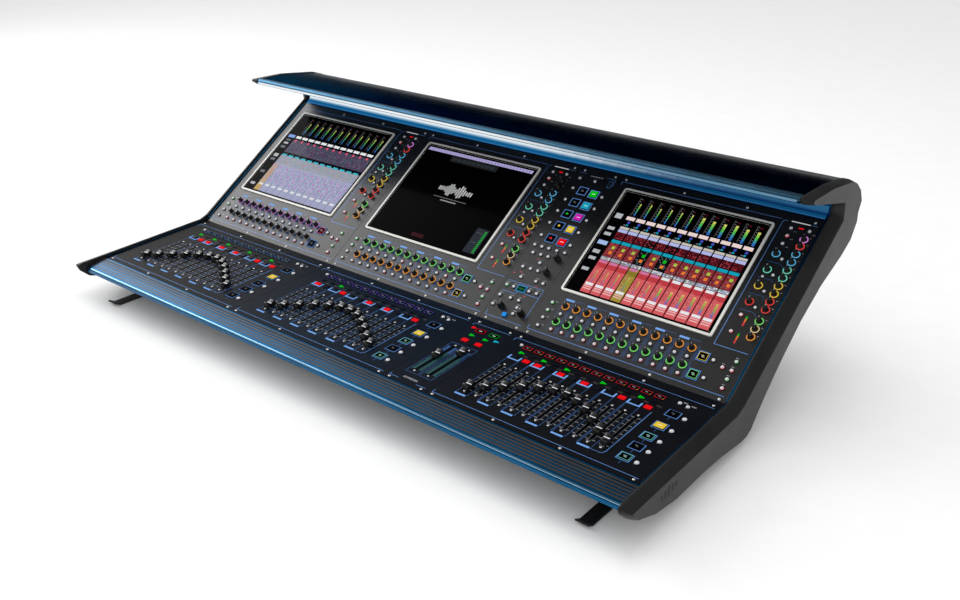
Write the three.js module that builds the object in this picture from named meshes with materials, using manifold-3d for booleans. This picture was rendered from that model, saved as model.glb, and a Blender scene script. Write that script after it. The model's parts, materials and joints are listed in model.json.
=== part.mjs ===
// A digital mixing console, in millimetres. +X is the operator's right, +Y the back and +Z up.
// Everything is laid out from the bend line, where the level fader deck meets the raised screen panels.
import * as THREE from "three";
import { mergeVertices } from "three/addons/utils/BufferGeometryUtils.js";
import Module from "manifold-3d";

const wasm = await Module();
wasm.setup();

// ---------- driving dimensions ----------
const FADER_PITCH = 26;
const FADER_TRAVEL = 100;
const FADERS_PER_BANK = 12;

const BEND_HEIGHT = 95; // bend line above the table
const DECK_SLOPE = THREE.MathUtils.degToRad(1.8);
const SCREEN_SLOPE = THREE.MathUtils.degToRad(33);
const DECK_DEPTH = 284; // bend line to the armrest
const SCREEN_PANEL_LENGTH = 425; // bend line to the light cove

const BODY_HALF = 719.5; // chassis end walls
const PANEL_HALF = 714.5; // outer edges of the panels
const CHEEK_INNER = 720;
const CHEEK_OUTER = 744;
const GAP = 0.4;
const SHEET = 2.5; // folded sheet of the housing
const PANEL_THICK = 3;

// ends of the four modules across the console
const MODULES = [
  { name: "left", from: -PANEL_HALF, to: -266 },
  { name: "centre", from: -266, to: 172 },
  { name: "master", from: 172, to: 276 },
  { name: "right", from: 276, to: PANEL_HALF },
];
const BANKS = [
  { name: "left", module: "left", firstX: -647.5 },
  { name: "centre", module: "centre", firstX: -210.3 },
  { name: "right", module: "right", firstX: 328.7 },
];
const MASTER_FADERS = [
  { name: "fader_master_1", x: 209.5, raised: 0.56 },
  { name: "fader_master_2", x: 243, raised: 0.88 },
];
const SCREENS = [
  { name: "left", x: -526 },
  { name: "centre", x: -82 },
  { name: "right", x: 466 },
];

const SLOT_CENTRE = 178.5; // middle of a fader slot, from the bend line towards the front
const SLOT_WIDTH = 3.4;
const SLOT_LENGTH = FADER_TRAVEL + 10;

const SCREEN = { width: 332, height: 277, thick: 16, proud: 2.6, low: 116.7, bezel: 8.5, glass: 1 };
const KNOB = { x: 253, up: 38, radius: 7.5, height: 14, shaft: 3, shaftEnd: -12 };
const BUTTON = { x: 220.6, up: 23.9, side: 9.4, height: 4.5, sunk: 2.2, stem: 4, stemEnd: -9 };

// ---------- geometry helpers ----------
function solid(geometry) {
  const bare = geometry.clone();
  bare.deleteAttribute("normal");
  bare.deleteAttribute("uv");
  const merged = mergeVertices(bare, 1e-4);
  return new wasm.Manifold(
    new wasm.Mesh({
      numProp: 3,
      vertProperties: merged.attributes.position.array,
      triVerts: new Uint32Array(merged.index.array),
    }),
  );
}

function geometryOf(manifold) {
  const mesh = manifold.getMesh();
  const geometry = new THREE.BufferGeometry();
  geometry.setAttribute("position", new THREE.BufferAttribute(mesh.vertProperties, 3));
  geometry.setIndex(new THREE.BufferAttribute(mesh.triVerts, 1));
  geometry.computeVertexNormals();
  return geometry;
}

// A box given by its lowest and highest corners.
function box(low, high) {
  const size = high.map((value, axis) => value - low[axis]);
  const middle = high.map((value, axis) => (value + low[axis]) / 2);
  return new THREE.BoxGeometry(...size).translate(...middle);
}

// Turns a shape drawn in X and Y and extruded along Z into one drawn in Y and Z and extruded along X.
const TURN_TO_X = new THREE.Matrix4().makeBasis(
  new THREE.Vector3(0, 1, 0),
  new THREE.Vector3(0, 0, 1),
  new THREE.Vector3(1, 0, 0),
);

function shapeOf(outline) {
  return new THREE.Shape(outline.map(([y, z]) => new THREE.Vector2(y, z)));
}

// An outline in the Y-Z plane, stretched along X.
function alongX(outline, fromX, toX) {
  const options = { depth: toX - fromX, bevelEnabled: false };
  const geometry = new THREE.ExtrudeGeometry(shapeOf(outline), options);
  return geometry.applyMatrix4(TURN_TO_X).translate(fromX, 0, 0);
}

// A strip of constant thickness that follows a line in the Y-Z plane, on the line's left-hand side.
function stripOutline(line, thickness) {
  const points = line.map(([y, z]) => new THREE.Vector2(y, z));
  const offset = points.map((point, i) => {
    const before = points[Math.max(i - 1, 0)];
    const after = points[Math.min(i + 1, points.length - 1)];
    const along = after.clone().sub(before).normalize();
    return point.clone().add(new THREE.Vector2(-along.y, along.x).multiplyScalar(thickness));
  });
  return [...points, ...offset.reverse()].map((point) => [point.x, point.y]);
}

// A smooth line through the given points.
function smooth(points, divisions) {
  const curve = new THREE.SplineCurve(points.map(([y, z]) => new THREE.Vector2(y, z)));
  return curve.getPoints(divisions).map((point) => [point.x, point.y]);
}

function roundedPlate(width, height, radius, thick) {
  const shape = new THREE.Shape();
  const [x, y] = [width / 2, height / 2];
  shape.moveTo(-x + radius, -y);
  shape.lineTo(x - radius, -y);
  shape.absarc(x - radius, -y + radius, radius, -Math.PI / 2, 0);
  shape.lineTo(x, y - radius);
  shape.absarc(x - radius, y - radius, radius, 0, Math.PI / 2);
  shape.lineTo(-x + radius, y);
  shape.absarc(-x + radius, y - radius, radius, Math.PI / 2, Math.PI);
  shape.lineTo(-x, -y + radius);
  shape.absarc(-x + radius, -y + radius, radius, Math.PI, Math.PI * 1.5);
  return new THREE.ExtrudeGeometry(shape, { depth: thick, bevelEnabled: false, curveSegments: 4 });
}

// Points on the two working planes: `out` is the distance from the bend line, `up` the height off the plane.
function onDeck(out, up = 0) {
  return [
    -out * Math.cos(DECK_SLOPE) - up * Math.sin(DECK_SLOPE),
    -out * Math.sin(DECK_SLOPE) + up * Math.cos(DECK_SLOPE),
  ];
}

function onScreens(out, up = 0) {
  return [
    out * Math.cos(SCREEN_SLOPE) - up * Math.sin(SCREEN_SLOPE),
    out * Math.sin(SCREEN_SLOPE) + up * Math.cos(SCREEN_SLOPE),
  ];
}

// ---------- scene graph ----------
const FINISH = {
  steel: { color: 0x17181a, roughness: 0.55, metalness: 0.6 },
  blue: { color: 0x1b4a73, roughness: 0.3, metalness: 0.9 },
  moulded: { color: 0x2b2b2b, roughness: 0.5, metalness: 0 },
  panel: { color: 0x101318, roughness: 0.4, metalness: 0.3 },
  screen: { color: 0xb8bab9, roughness: 0.4, metalness: 0.4 },
  cap: { color: 0x141414, roughness: 0.35, metalness: 0 },
  button: { color: 0xcfd3d8, roughness: 0.4, metalness: 0 },
};

const consoleGroup = new THREE.Group();
const body = new THREE.Group(); // origin on the bend line
const deck = new THREE.Group(); // local +Y runs to the back along the deck, +Z off it
const screens = new THREE.Group(); // the same for the raised panels
deck.rotation.x = DECK_SLOPE;
screens.rotation.x = SCREEN_SLOPE;
body.add(deck, screens);
consoleGroup.add(body);

function addPart(parent, name, geometry, finish) {
  const mesh = new THREE.Mesh(geometry, new THREE.MeshStandardMaterial(FINISH[finish]));
  mesh.name = name;
  parent.add(mesh);
  return mesh;
}

// ---------- housing ----------
const UNDERSIDE = -76; // bottom of the housing, from the bend line
const CHASSIS_BACK = [
  [60, -70],
  [85, -47],
  [108, -25],
  [160, 19],
  [231, 72],
  [310, 115],
  [397, 148],
  [437, 170],
];
const ENGINE_HALF = 618; // half width of the bay behind the lower deck
const ENGINE_BACK = 392;
const ENGINE_TOP = 128;
const FOOT_PAD = 9; // rubber pads under the bay
const TABLE = -BEND_HEIGHT;

function chassisGeometry() {
  const topDrop = PANEL_THICK + GAP;
  const outer = [
    onDeck(DECK_DEPTH + 34, -16),
    onDeck(DECK_DEPTH + 30, -30),
    [-296, -48],
    [-250, -66],
    [-200, UNDERSIDE],
    [30, UNDERSIDE],
    ...CHASSIS_BACK,
    onScreens(SCREEN_PANEL_LENGTH + 26, -topDrop - 30),
    onScreens(SCREEN_PANEL_LENGTH + 4, -topDrop - 4),
    onScreens(SCREEN_PANEL_LENGTH - 14, -topDrop),
    onScreens(0, -topDrop),
    onDeck(0, -topDrop),
    onDeck(DECK_DEPTH - 8, -topDrop),
    onDeck(DECK_DEPTH - 8, -16),
  ];
  const inner = [
    [-280, -46 + SHEET],
    [-248, -66 + SHEET],
    [-199, UNDERSIDE + SHEET],
    [29, UNDERSIDE + SHEET],
    ...CHASSIS_BACK.slice(0, -1).map(([y, z]) => [y - SHEET * 0.6, z + SHEET * 1.1]),
    onScreens(SCREEN_PANEL_LENGTH - 16, -60),
    onScreens(SCREEN_PANEL_LENGTH - 16, 20),
    [0, 60],
    onDeck(DECK_DEPTH - 16, 20),
  ];
  const bay = [
    [34, TABLE + FOOT_PAD],
    [ENGINE_BACK, TABLE + FOOT_PAD],
    [ENGINE_BACK, ENGINE_TOP],
    [330, 120],
    [110, -26],
    [34, -70],
  ];
  const bayHollow = [
    [37, TABLE + FOOT_PAD + SHEET],
    [ENGINE_BACK - SHEET, TABLE + FOOT_PAD + SHEET],
    [ENGINE_BACK - SHEET, ENGINE_TOP + 8],
    [330, 132],
    [110, -14],
    [37, -55],
  ];
  const wall = BODY_HALF - SHEET;
  const bayWall = ENGINE_HALF - SHEET;
  let made = solid(alongX(outer, -BODY_HALF, BODY_HALF)).add(
    solid(alongX(bay, -ENGINE_HALF, ENGINE_HALF)),
  );
  made = made.subtract(solid(alongX(inner, -wall, wall)));
  made = made.subtract(solid(alongX(bayHollow, -bayWall, bayWall)));
  for (const side of [-1, 1]) {
    for (const y of [70, 350]) {
      const pad = new THREE.CylinderGeometry(16, 18, FOOT_PAD + 1, 16);
      pad.rotateX(Math.PI / 2).translate(side * (ENGINE_HALF - 40), y, TABLE + (FOOT_PAD + 1) / 2);
      made = made.add(solid(pad));
    }
  }
  return geometryOf(made);
}

const SUPPLY = { half: 95, depth: 190, height: 62, flange: 78, x: -440, front: 160 };

function powerSupplyGeometry() {
  const { half, depth, height, flange } = SUPPLY;
  const shell = box([-half, 0, 0], [half, depth, height]);
  const mountingFlange = box([-half, depth, 0], [half, depth + SHEET, flange]);
  return geometryOf(solid(shell).add(solid(mountingFlange)));
}

addPart(body, "chassis", chassisGeometry(), "steel");
const supply = addPart(body, "power_supply", powerSupplyGeometry(), "steel");
supply.position.set(SUPPLY.x, SUPPLY.front, TABLE + FOOT_PAD + SHEET + GAP);

// ---------- armrest, light cove and hood: long extrusions between the cheeks ----------
const EXTRUSION_HALF = CHEEK_INNER - GAP;
const ARMREST_NOSE = -338;
const ARMREST_DROP = -16.5;
// Grooves along the armrest: the floor of each one follows the sloping top, about 1.4 below it.
const GROOVES = { count: 6, first: -292, pitch: 7, width: 2.6, floor: -11.3, fall: 1.05 };

function armrestGeometry() {
  const back = onDeck(DECK_DEPTH + GAP, -1);
  const top = smooth([back, [-312, -12.6], [ARMREST_NOSE + 3, ARMREST_DROP]], 4);
  const front = [
    [ARMREST_NOSE, ARMREST_DROP - 4],
    [ARMREST_NOSE + 1, ARMREST_DROP - 12],
    [ARMREST_NOSE + 7, ARMREST_DROP - 17],
    [ARMREST_NOSE + 18, ARMREST_DROP - 18],
  ];
  const under = [
    onDeck(DECK_DEPTH + 34 + GAP, -16 + GAP),
    onDeck(DECK_DEPTH + GAP - 8, -16 + GAP + 0.4),
    onDeck(DECK_DEPTH + GAP - 8, -PANEL_THICK - GAP),
    onDeck(DECK_DEPTH + GAP, -PANEL_THICK - GAP),
  ];
  let made = solid(alongX([...top, ...front, ...under], -EXTRUSION_HALF, EXTRUSION_HALF));
  for (let i = 0; i < GROOVES.count; i += 1) {
    const y = GROOVES.first - i * GROOVES.pitch;
    const floor = GROOVES.floor - i * GROOVES.fall;
    const low = [-EXTRUSION_HALF - 1, y - GROOVES.width / 2, floor];
    const high = [EXTRUSION_HALF + 1, y + GROOVES.width / 2, 0];
    made = made.subtract(solid(box(low, high)));
  }
  return geometryOf(made);
}

const COVE_LINE = [
  onScreens(SCREEN_PANEL_LENGTH + 1, 0),
  [371, 241],
  [377, 252],
  [376, 264],
  [367, 272.5],
  [290, 289],
  [216, 306.5],
];

function coveGeometry() {
  return geometryOf(solid(alongX(stripOutline(COVE_LINE, -2.4), -EXTRUSION_HALF, EXTRUSION_HALF)));
}

function hoodGeometry() {
  const skin = smooth([[207, 320], [300, 318], [398, 306]], 6).concat(
    smooth([[424, 297], [450, 277], [466, 250], [458, 226], [458, 206]], 8),
  );
  const lip = [[212.5, 307.3], [206, 308], [203.5, 313]];
  const inner = skin.map(([y, z]) => [y - (y > 400 ? 2.6 : 0), z - (y > 440 ? 0 : 2.8)]).reverse();
  inner[inner.length - 1] = [213.5, 315];
  return geometryOf(solid(alongX([...lip, ...skin, ...inner], -EXTRUSION_HALF, EXTRUSION_HALF)));
}

addPart(body, "armrest", armrestGeometry(), "blue");
addPart(body, "light_cove", coveGeometry(), "blue");
addPart(body, "hood", hoodGeometry(), "blue");

// ---------- moulded end cheeks ----------
const CHEEK_TOP = 6; // height of a cheek's ridge off the working planes
const CHEEK_OUTLINE = [
  onDeck(346, CHEEK_TOP),
  onDeck(12, CHEEK_TOP),
  onScreens(16, CHEEK_TOP),
  onScreens(436, CHEEK_TOP),
  [366, 268],
  [288, 288],
  [212, 306],
  [202, 312],
  [206, 321.5],
  [300, 319.5],
  [396, 307.5],
  [426, 298],
  [452, 278],
  [469, 250],
  [459, 227],
  [461, 207],
  [439, 173],
  [397, 151],
  [310, 119],
  [231, 76],
  [159, 22],
  [108, -23],
  [85, -47],
  [62, -73],
  [42, -81],
  [20, -82],
  [-58, -72],
  [-124, -69],
  [-210, -70],
  [-278, -60],
  [-333, -40],
  [-352, -22],
  [-357, -10],
];

function cheekGeometry(side) {
  const bevel = 4;
  const flat = CHEEK_OUTER - CHEEK_INNER - 2 * bevel; // width between the two bevels
  const middle = (side * (CHEEK_INNER + CHEEK_OUTER)) / 2;
  const geometry = new THREE.ExtrudeGeometry(shapeOf(CHEEK_OUTLINE), {
    depth: flat,
    bevelThickness: bevel,
    bevelSize: bevel,
    bevelOffset: -bevel,
    bevelSegments: 1,
  });
  return geometry.applyMatrix4(TURN_TO_X).translate(middle - flat / 2, 0, 0);
}

addPart(body, "cheek_left", cheekGeometry(-1), "moulded");
addPart(body, "cheek_right", cheekGeometry(1), "moulded");

// ---------- front feet: bent steel straps with an upturned toe ----------
const FOOT = { x: 645, width: 26, thick: 3, front: -318, upright: -206, shelfBack: -196, shelfFront: -232 };
const TOE = { y: -333, rise: 8 };

function footGeometry() {
  const { width, thick, front, upright, shelfBack, shelfFront } = FOOT;
  const shelf = UNDERSIDE - GAP; // top of the strap, under the housing
  const outline = [
    [shelfFront, shelf - thick],
    [upright - thick, shelf - thick],
    [upright - thick, TABLE + thick],
    [front + 1, TABLE + thick],
    [TOE.y + 1.5, TABLE + TOE.rise + thick],
    [TOE.y, TABLE + TOE.rise],
    [front, TABLE],
    [upright, TABLE],
    [upright, shelf - thick],
    [shelfBack, shelf - thick],
    [shelfBack, shelf],
    [shelfFront, shelf],
  ];
  return alongX(outline, -width / 2, width / 2);
}

for (const [name, side] of [["front_foot_left", -1], ["front_foot_right", 1]]) {
  addPart(body, name, footGeometry(), "steel").position.x = side * FOOT.x;
}

// ---------- control panels ----------
const THROUGH = 1; // how far a cut runs past each face of a panel

function slotCut(x) {
  return solid(
    box(
      [x - SLOT_WIDTH / 2, -SLOT_CENTRE - SLOT_LENGTH / 2, -PANEL_THICK - THROUGH],
      [x + SLOT_WIDTH / 2, -SLOT_CENTRE + SLOT_LENGTH / 2, THROUGH],
    ),
  );
}

function deckPanelGeometry(module, slots) {
  let plate = solid(
    box([module.from + GAP / 2, -DECK_DEPTH, -PANEL_THICK], [module.to - GAP / 2, -GAP, 0]),
  );
  for (const x of slots) plate = plate.subtract(slotCut(x));
  return geometryOf(plate);
}

function screenPanelGeometry(module) {
  let plate = solid(
    box([module.from + GAP / 2, GAP, -PANEL_THICK], [module.to - GAP / 2, SCREEN_PANEL_LENGTH, 0]),
  );
  const screen = SCREENS.find(({ name }) => name === module.name);
  if (screen) {
    const half = SCREEN.width / 2 + GAP;
    plate = plate.subtract(
      solid(
        box(
          [screen.x - half, SCREEN.low - GAP, -PANEL_THICK - THROUGH],
          [screen.x + half, SCREEN.low + SCREEN.height + GAP, THROUGH],
        ),
      ),
    );
  } else {
    const knobHole = new THREE.CylinderGeometry(KNOB.shaft + GAP, KNOB.shaft + GAP, 10, 24);
    knobHole.rotateX(Math.PI / 2).translate(KNOB.x, KNOB.up, -PANEL_THICK / 2);
    const half = BUTTON.side / 2 + GAP;
    const buttonHole = box(
      [BUTTON.x - half, BUTTON.up - half, -PANEL_THICK - THROUGH],
      [BUTTON.x + half, BUTTON.up + half, THROUGH],
    );
    plate = plate.subtract(solid(knobHole)).subtract(solid(buttonHole));
  }
  return geometryOf(plate);
}

function bankFaders(bank) {
  return Array.from({ length: FADERS_PER_BANK }, (_, i) => ({
    name: `fader_${bank.name}_${i + 1}`,
    x: bank.firstX + i * FADER_PITCH,
    raised: 0.04 + 0.82 * Math.sin((Math.PI * (i + 0.1)) / 11.6) ** 1.4,
  }));
}

const faders = BANKS.flatMap(bankFaders).concat(MASTER_FADERS);

for (const module of MODULES) {
  const slots = faders.map(({ x }) => x).filter((x) => x > module.from && x < module.to);
  addPart(deck, `deck_panel_${module.name}`, deckPanelGeometry(module, slots), "panel");
  addPart(screens, `screen_panel_${module.name}`, screenPanelGeometry(module), "panel");
}

// ---------- touchscreens ----------
function touchscreenGeometry() {
  const { width, height, thick, bezel, glass } = SCREEN;
  const frame = solid(roundedPlate(width, height, 6, thick));
  const recess = roundedPlate(width - 2 * bezel, height - 2 * bezel, 2, glass + 1);
  return geometryOf(frame.subtract(solid(recess.translate(0, 0, thick - glass))));
}

for (const { name, x } of SCREENS) {
  const screen = addPart(screens, `touchscreen_${name}`, touchscreenGeometry(), "screen");
  screen.position.set(x, SCREEN.low + SCREEN.height / 2, SCREEN.proud - SCREEN.thick);
}

// ---------- faders: finger cap, blade through the slot and carriage below the panel ----------
const CAP = { width: 13, length: 23, height: 10.5, lift: 2.2, waist: 3.2 };
const CARRIAGE = { width: 12, length: 16, height: 7 };

function faderGeometry() {
  const { width, length, height, lift, waist } = CAP;
  const half = length / 2;
  const outline = [
    [-half, lift],
    [half, lift],
    [half - 1.2, lift + height - 1.6],
    [half - 3.4, lift + height],
    [2.4, lift + height - waist],
    [-2.4, lift + height - waist],
    [-half + 3.4, lift + height],
    [-half + 1.2, lift + height - 1.6],
  ];
  const cap = solid(alongX(outline, -width / 2, width / 2));
  const blade = solid(box([-0.8, -4, -PANEL_THICK - 6], [0.8, 4, lift + 1]));
  const low = -PANEL_THICK - 3 - CARRIAGE.height;
  const carriage = solid(
    box(
      [-CARRIAGE.width / 2, -CARRIAGE.length / 2, low],
      [CARRIAGE.width / 2, CARRIAGE.length / 2, low + CARRIAGE.height],
    ),
  );
  return geometryOf(cap.add(blade).add(carriage));
}

for (const { name, x, raised } of faders) {
  const fader = addPart(deck, name, faderGeometry(), "cap");
  fader.position.set(x, -SLOT_CENTRE + (raised - 0.5) * FADER_TRAVEL, 0);
}

// ---------- monitor level knob and talkback button on the master module ----------
function knobGeometry() {
  const { radius, height, shaft, shaftEnd } = KNOB;
  const profile = [
    [0, shaftEnd],
    [shaft, shaftEnd],
    [shaft, 1.2],
    [radius, 1.2],
    [radius - 0.6, height - 1],
    [radius - 1.8, height],
    [0, height],
  ].map(([r, z]) => new THREE.Vector2(r, z));
  return new THREE.LatheGeometry(profile, 24).rotateX(Math.PI / 2);
}

function buttonGeometry() {
  const { side, height, sunk, stem, stemEnd } = BUTTON;
  const cap = solid(box([-side / 2, -side / 2, -sunk], [side / 2, side / 2, height]));
  const plunger = solid(box([-stem / 2, -stem / 2, stemEnd], [stem / 2, stem / 2, 1 - sunk]));
  return geometryOf(cap.add(plunger));
}

addPart(screens, "monitor_level_knob", knobGeometry(), "cap").position.set(KNOB.x, KNOB.up, 0);
addPart(screens, "talkback_button", buttonGeometry(), "button").position.set(BUTTON.x, BUTTON.up, 0);

// ---------- stand the console on the table, centred front to back ----------
const bounds = new THREE.Box3().setFromObject(body);
body.position.set(0, -(bounds.min.y + bounds.max.y) / 2, BEND_HEIGHT);

export default consoleGroup;
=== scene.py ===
import json
import math
import random

import bmesh
import bpy
from mathutils import Matrix, Vector


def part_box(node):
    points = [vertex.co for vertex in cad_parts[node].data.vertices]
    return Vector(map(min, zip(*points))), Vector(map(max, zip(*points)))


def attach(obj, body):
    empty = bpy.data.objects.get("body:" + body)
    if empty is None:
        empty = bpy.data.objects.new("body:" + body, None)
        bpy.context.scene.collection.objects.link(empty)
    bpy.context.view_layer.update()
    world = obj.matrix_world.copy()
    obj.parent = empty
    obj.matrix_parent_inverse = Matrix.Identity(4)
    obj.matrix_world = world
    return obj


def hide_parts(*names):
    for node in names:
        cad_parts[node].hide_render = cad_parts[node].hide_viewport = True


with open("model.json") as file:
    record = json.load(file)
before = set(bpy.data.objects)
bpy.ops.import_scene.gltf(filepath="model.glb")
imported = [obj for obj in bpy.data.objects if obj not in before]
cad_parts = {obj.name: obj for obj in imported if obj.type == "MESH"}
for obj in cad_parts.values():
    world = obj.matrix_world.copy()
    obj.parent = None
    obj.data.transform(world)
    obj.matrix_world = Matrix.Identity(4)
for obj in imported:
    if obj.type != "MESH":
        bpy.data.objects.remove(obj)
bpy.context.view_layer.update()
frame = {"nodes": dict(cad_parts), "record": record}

# The looks of a digital mixing console, built around its CAD frame. The scene is in metres, +X the
# operator's right, +Y the back and +Z up. Shapes are given in millimetres on one of three planes:
# the fader deck, the raised screen panels, or the level frame whose origin is on the bend line.

MM = 0.001
BODY = "console"
BANKS = ("left", "centre", "right")
STRIPS = 12


# ---------- places, all from the frame ----------
def joint_axis(name):
    return next(j["axis"] for j in frame["record"]["behaviour"]["joints"] if j["name"] == name)


fader_axis = joint_axis("fader_left_1_slide")
knob_axis = joint_axis("monitor_level_turn")
DECK_SLOPE = math.atan2(fader_axis[2], fader_axis[1])
SCREEN_SLOPE = math.atan2(-knob_axis[1], knob_axis[2])
PANEL_THICK = 3.0
PANEL_GAP = 0.4


def bend_line():
    """The point on the bend line in the middle of the console, from the lowest corner of a raised panel."""
    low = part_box("screen_panel_left")[0]
    sin, cos = math.sin(SCREEN_SLOPE), math.cos(SCREEN_SLOPE)
    back = PANEL_GAP * cos * MM
    down = (PANEL_GAP * sin - PANEL_THICK * cos) * MM
    return Vector((0.0, low.y - back, low.z - down))


BEND = bend_line()
LEVEL = Matrix.Translation(BEND)
DECK = LEVEL @ Matrix.Rotation(DECK_SLOPE, 4, "X")
SCREENS = LEVEL @ Matrix.Rotation(SCREEN_SLOPE, 4, "X")


def span_x(node):
    low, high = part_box(node)
    return low.x / MM, high.x / MM


def centre_x(node):
    return sum(span_x(node)) / 2


def centre_on(plane, node):
    low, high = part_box(node)
    return plane.inverted() @ ((low + high) / 2) / MM


SCREEN_WIDTH = span_x("touchscreen_left")[1] - span_x("touchscreen_left")[0]
SCREEN_BEZEL = 8.5
SCREEN_RATIO = 277 / 332
SCREEN_HEIGHT = SCREEN_WIDTH * SCREEN_RATIO
SCREEN_FACE = 1.6  # height of the glass off the raised panel
BEZEL_TOP = 2.6
SCREEN_GASKET = 3.4  # black border on the inner part of the bezel
SCREEN_LOW = centre_on(SCREENS, "touchscreen_left").y - SCREEN_HEIGHT / 2
SLOT_CENTRE = 178.5
SLOT_SCREWS = 58.7
FADER_TRAVEL = 100.0


# ---------- colours ----------
def srgb(red, green, blue):
    """A colour given as 0 to 255 values of the screen, as linear light."""
    def linear(value):
        value /= 255
        return value / 12.92 if value <= 0.04045 else ((value + 0.055) / 1.055) ** 2.4

    return (linear(red), linear(green), linear(blue), 1.0)


WHITE = srgb(240, 242, 245)
PALE = srgb(185, 188, 192)
KEY_GREY = srgb(205, 207, 212)
GREY = srgb(110, 114, 120)
SCALE_GREY = srgb(138, 142, 148)
CAPTION_BROWN = srgb(96, 86, 82)
DEEP_TEAL = srgb(40, 98, 96)
BLACK = srgb(6, 6, 8)
PRINT_BLUE = srgb(92, 138, 205)
DIM_BLUE = srgb(60, 102, 166)
BAR_BLUE = srgb(120, 170, 238)
RED = srgb(238, 12, 20)
DIM_RED = srgb(190, 60, 60)
GREEN = srgb(0, 190, 20)
LIME = srgb(120, 220, 110)
ORANGE = srgb(226, 150, 62)
AMBER = srgb(240, 130, 50)
YELLOW = srgb(222, 190, 70)
SUN = srgb(232, 200, 62)
CREAM = srgb(216, 196, 150)
TEAL = srgb(110, 205, 180)
SKY = srgb(88, 170, 214)
CYAN = srgb(20, 165, 190)
MAGENTA = srgb(206, 30, 176)
ORCHID = srgb(206, 132, 214)
CORAL = srgb(222, 70, 64)


# ---------- materials ----------
def new_material(name):
    material = bpy.data.materials.new(name)
    material.use_nodes = True
    tree = material.node_tree
    return material, tree.nodes, tree.links, tree.nodes["Principled BSDF"]


def add_noise(nodes, links, scale, detail=4.0, stretch=(1, 1, 1)):
    """Noise in object space, so that its grain has a real size."""
    place = nodes.new("ShaderNodeTexCoord")
    mapping = nodes.new("ShaderNodeMapping")
    mapping.inputs["Scale"].default_value = stretch
    noise = nodes.new("ShaderNodeTexNoise")
    noise.inputs["Scale"].default_value = scale
    noise.inputs["Detail"].default_value = detail
    links.new(place.outputs["Object"], mapping.inputs["Vector"])
    links.new(mapping.outputs["Vector"], noise.inputs["Vector"])
    return noise


def ramp(nodes, links, source, low, high, from_low=0.3, from_high=0.7):
    spread = nodes.new("ShaderNodeMapRange")
    spread.inputs["From Min"].default_value = from_low
    spread.inputs["From Max"].default_value = from_high
    spread.inputs["To Min"].default_value = low
    spread.inputs["To Max"].default_value = high
    links.new(source, spread.inputs["Value"])
    return spread.outputs["Result"]


def surface(name, colour, rough=(0.35, 0.5), metal=0.0, grain=900, bump=0.08, vary=0.25,
            stretch=(1, 1, 1), broad=14, specular=0.5, edge=1.0):
    """A painted, moulded or metal surface: fine grain in its bump, slow changes in its colour and gloss."""
    material, nodes, links, shader = new_material(name)
    shader.inputs["Metallic"].default_value = metal
    shader.inputs["Specular Tint"].default_value = (edge, edge, edge, 1)
    shader.inputs["Specular IOR Level"].default_value = specular
    slow = add_noise(nodes, links, broad)
    fine = add_noise(nodes, links, grain, 3.0, stretch)
    mix = nodes.new("ShaderNodeMix")
    mix.data_type = "RGBA"
    mix.inputs["A"].default_value = (*[part * (1 - vary) for part in colour[:3]], 1)
    mix.inputs["B"].default_value = (*[min(1, part * (1 + vary)) for part in colour[:3]], 1)
    links.new(ramp(nodes, links, slow.outputs["Fac"], 0, 1), mix.inputs["Factor"])
    links.new(mix.outputs["Result"], shader.inputs["Base Color"])
    both = nodes.new("ShaderNodeMath")
    both.operation = "MULTIPLY_ADD"
    both.inputs[1].default_value = 0.5
    links.new(slow.outputs["Fac"], both.inputs[0])
    links.new(ramp(nodes, links, fine.outputs["Fac"], 0, 0.5), both.inputs[2])
    links.new(ramp(nodes, links, both.outputs["Value"], *rough), shader.inputs["Roughness"])
    relief = nodes.new("ShaderNodeBump")
    relief.inputs["Strength"].default_value = bump
    relief.inputs["Distance"].default_value = 0.0003
    links.new(fine.outputs["Fac"], relief.inputs["Height"])
    links.new(relief.outputs["Normal"], shader.inputs["Normal"])
    return material


def painted_reflection_across(material, tones):
    """Multiplies a surface's colour by painted reflection: tones that change along the console, as pairs of X
    and colour.
    """
    nodes, links = material.node_tree.nodes, material.node_tree.links
    base = nodes["Principled BSDF"].inputs["Base Color"]
    plain = base.links[0].from_socket
    place = nodes.new("ShaderNodeTexCoord")
    split = nodes.new("ShaderNodeSeparateXYZ")
    reflection_tone = nodes.new("ShaderNodeValToRGB")
    tinted = nodes.new("ShaderNodeMix")
    tinted.data_type = "RGBA"
    tinted.blend_type = "MULTIPLY"
    tinted.inputs["Factor"].default_value = 1.0
    links.new(place.outputs["Object"], split.inputs["Vector"])
    first, last = tones[0][0], tones[-1][0]
    links.new(ramp(nodes, links, split.outputs["X"], 0, 1, first, last), reflection_tone.inputs["Fac"])
    stops = reflection_tone.color_ramp.elements
    for x, _ in tones[1:-1]:
        stops.new((x - first) / (last - first))
    for stop, (_, tone) in zip(stops, tones):
        stop.color = tone
    links.new(plain, tinted.inputs["A"])
    links.new(reflection_tone.outputs["Color"], tinted.inputs["B"])
    links.new(tinted.outputs["Result"], base)
    return material


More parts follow.
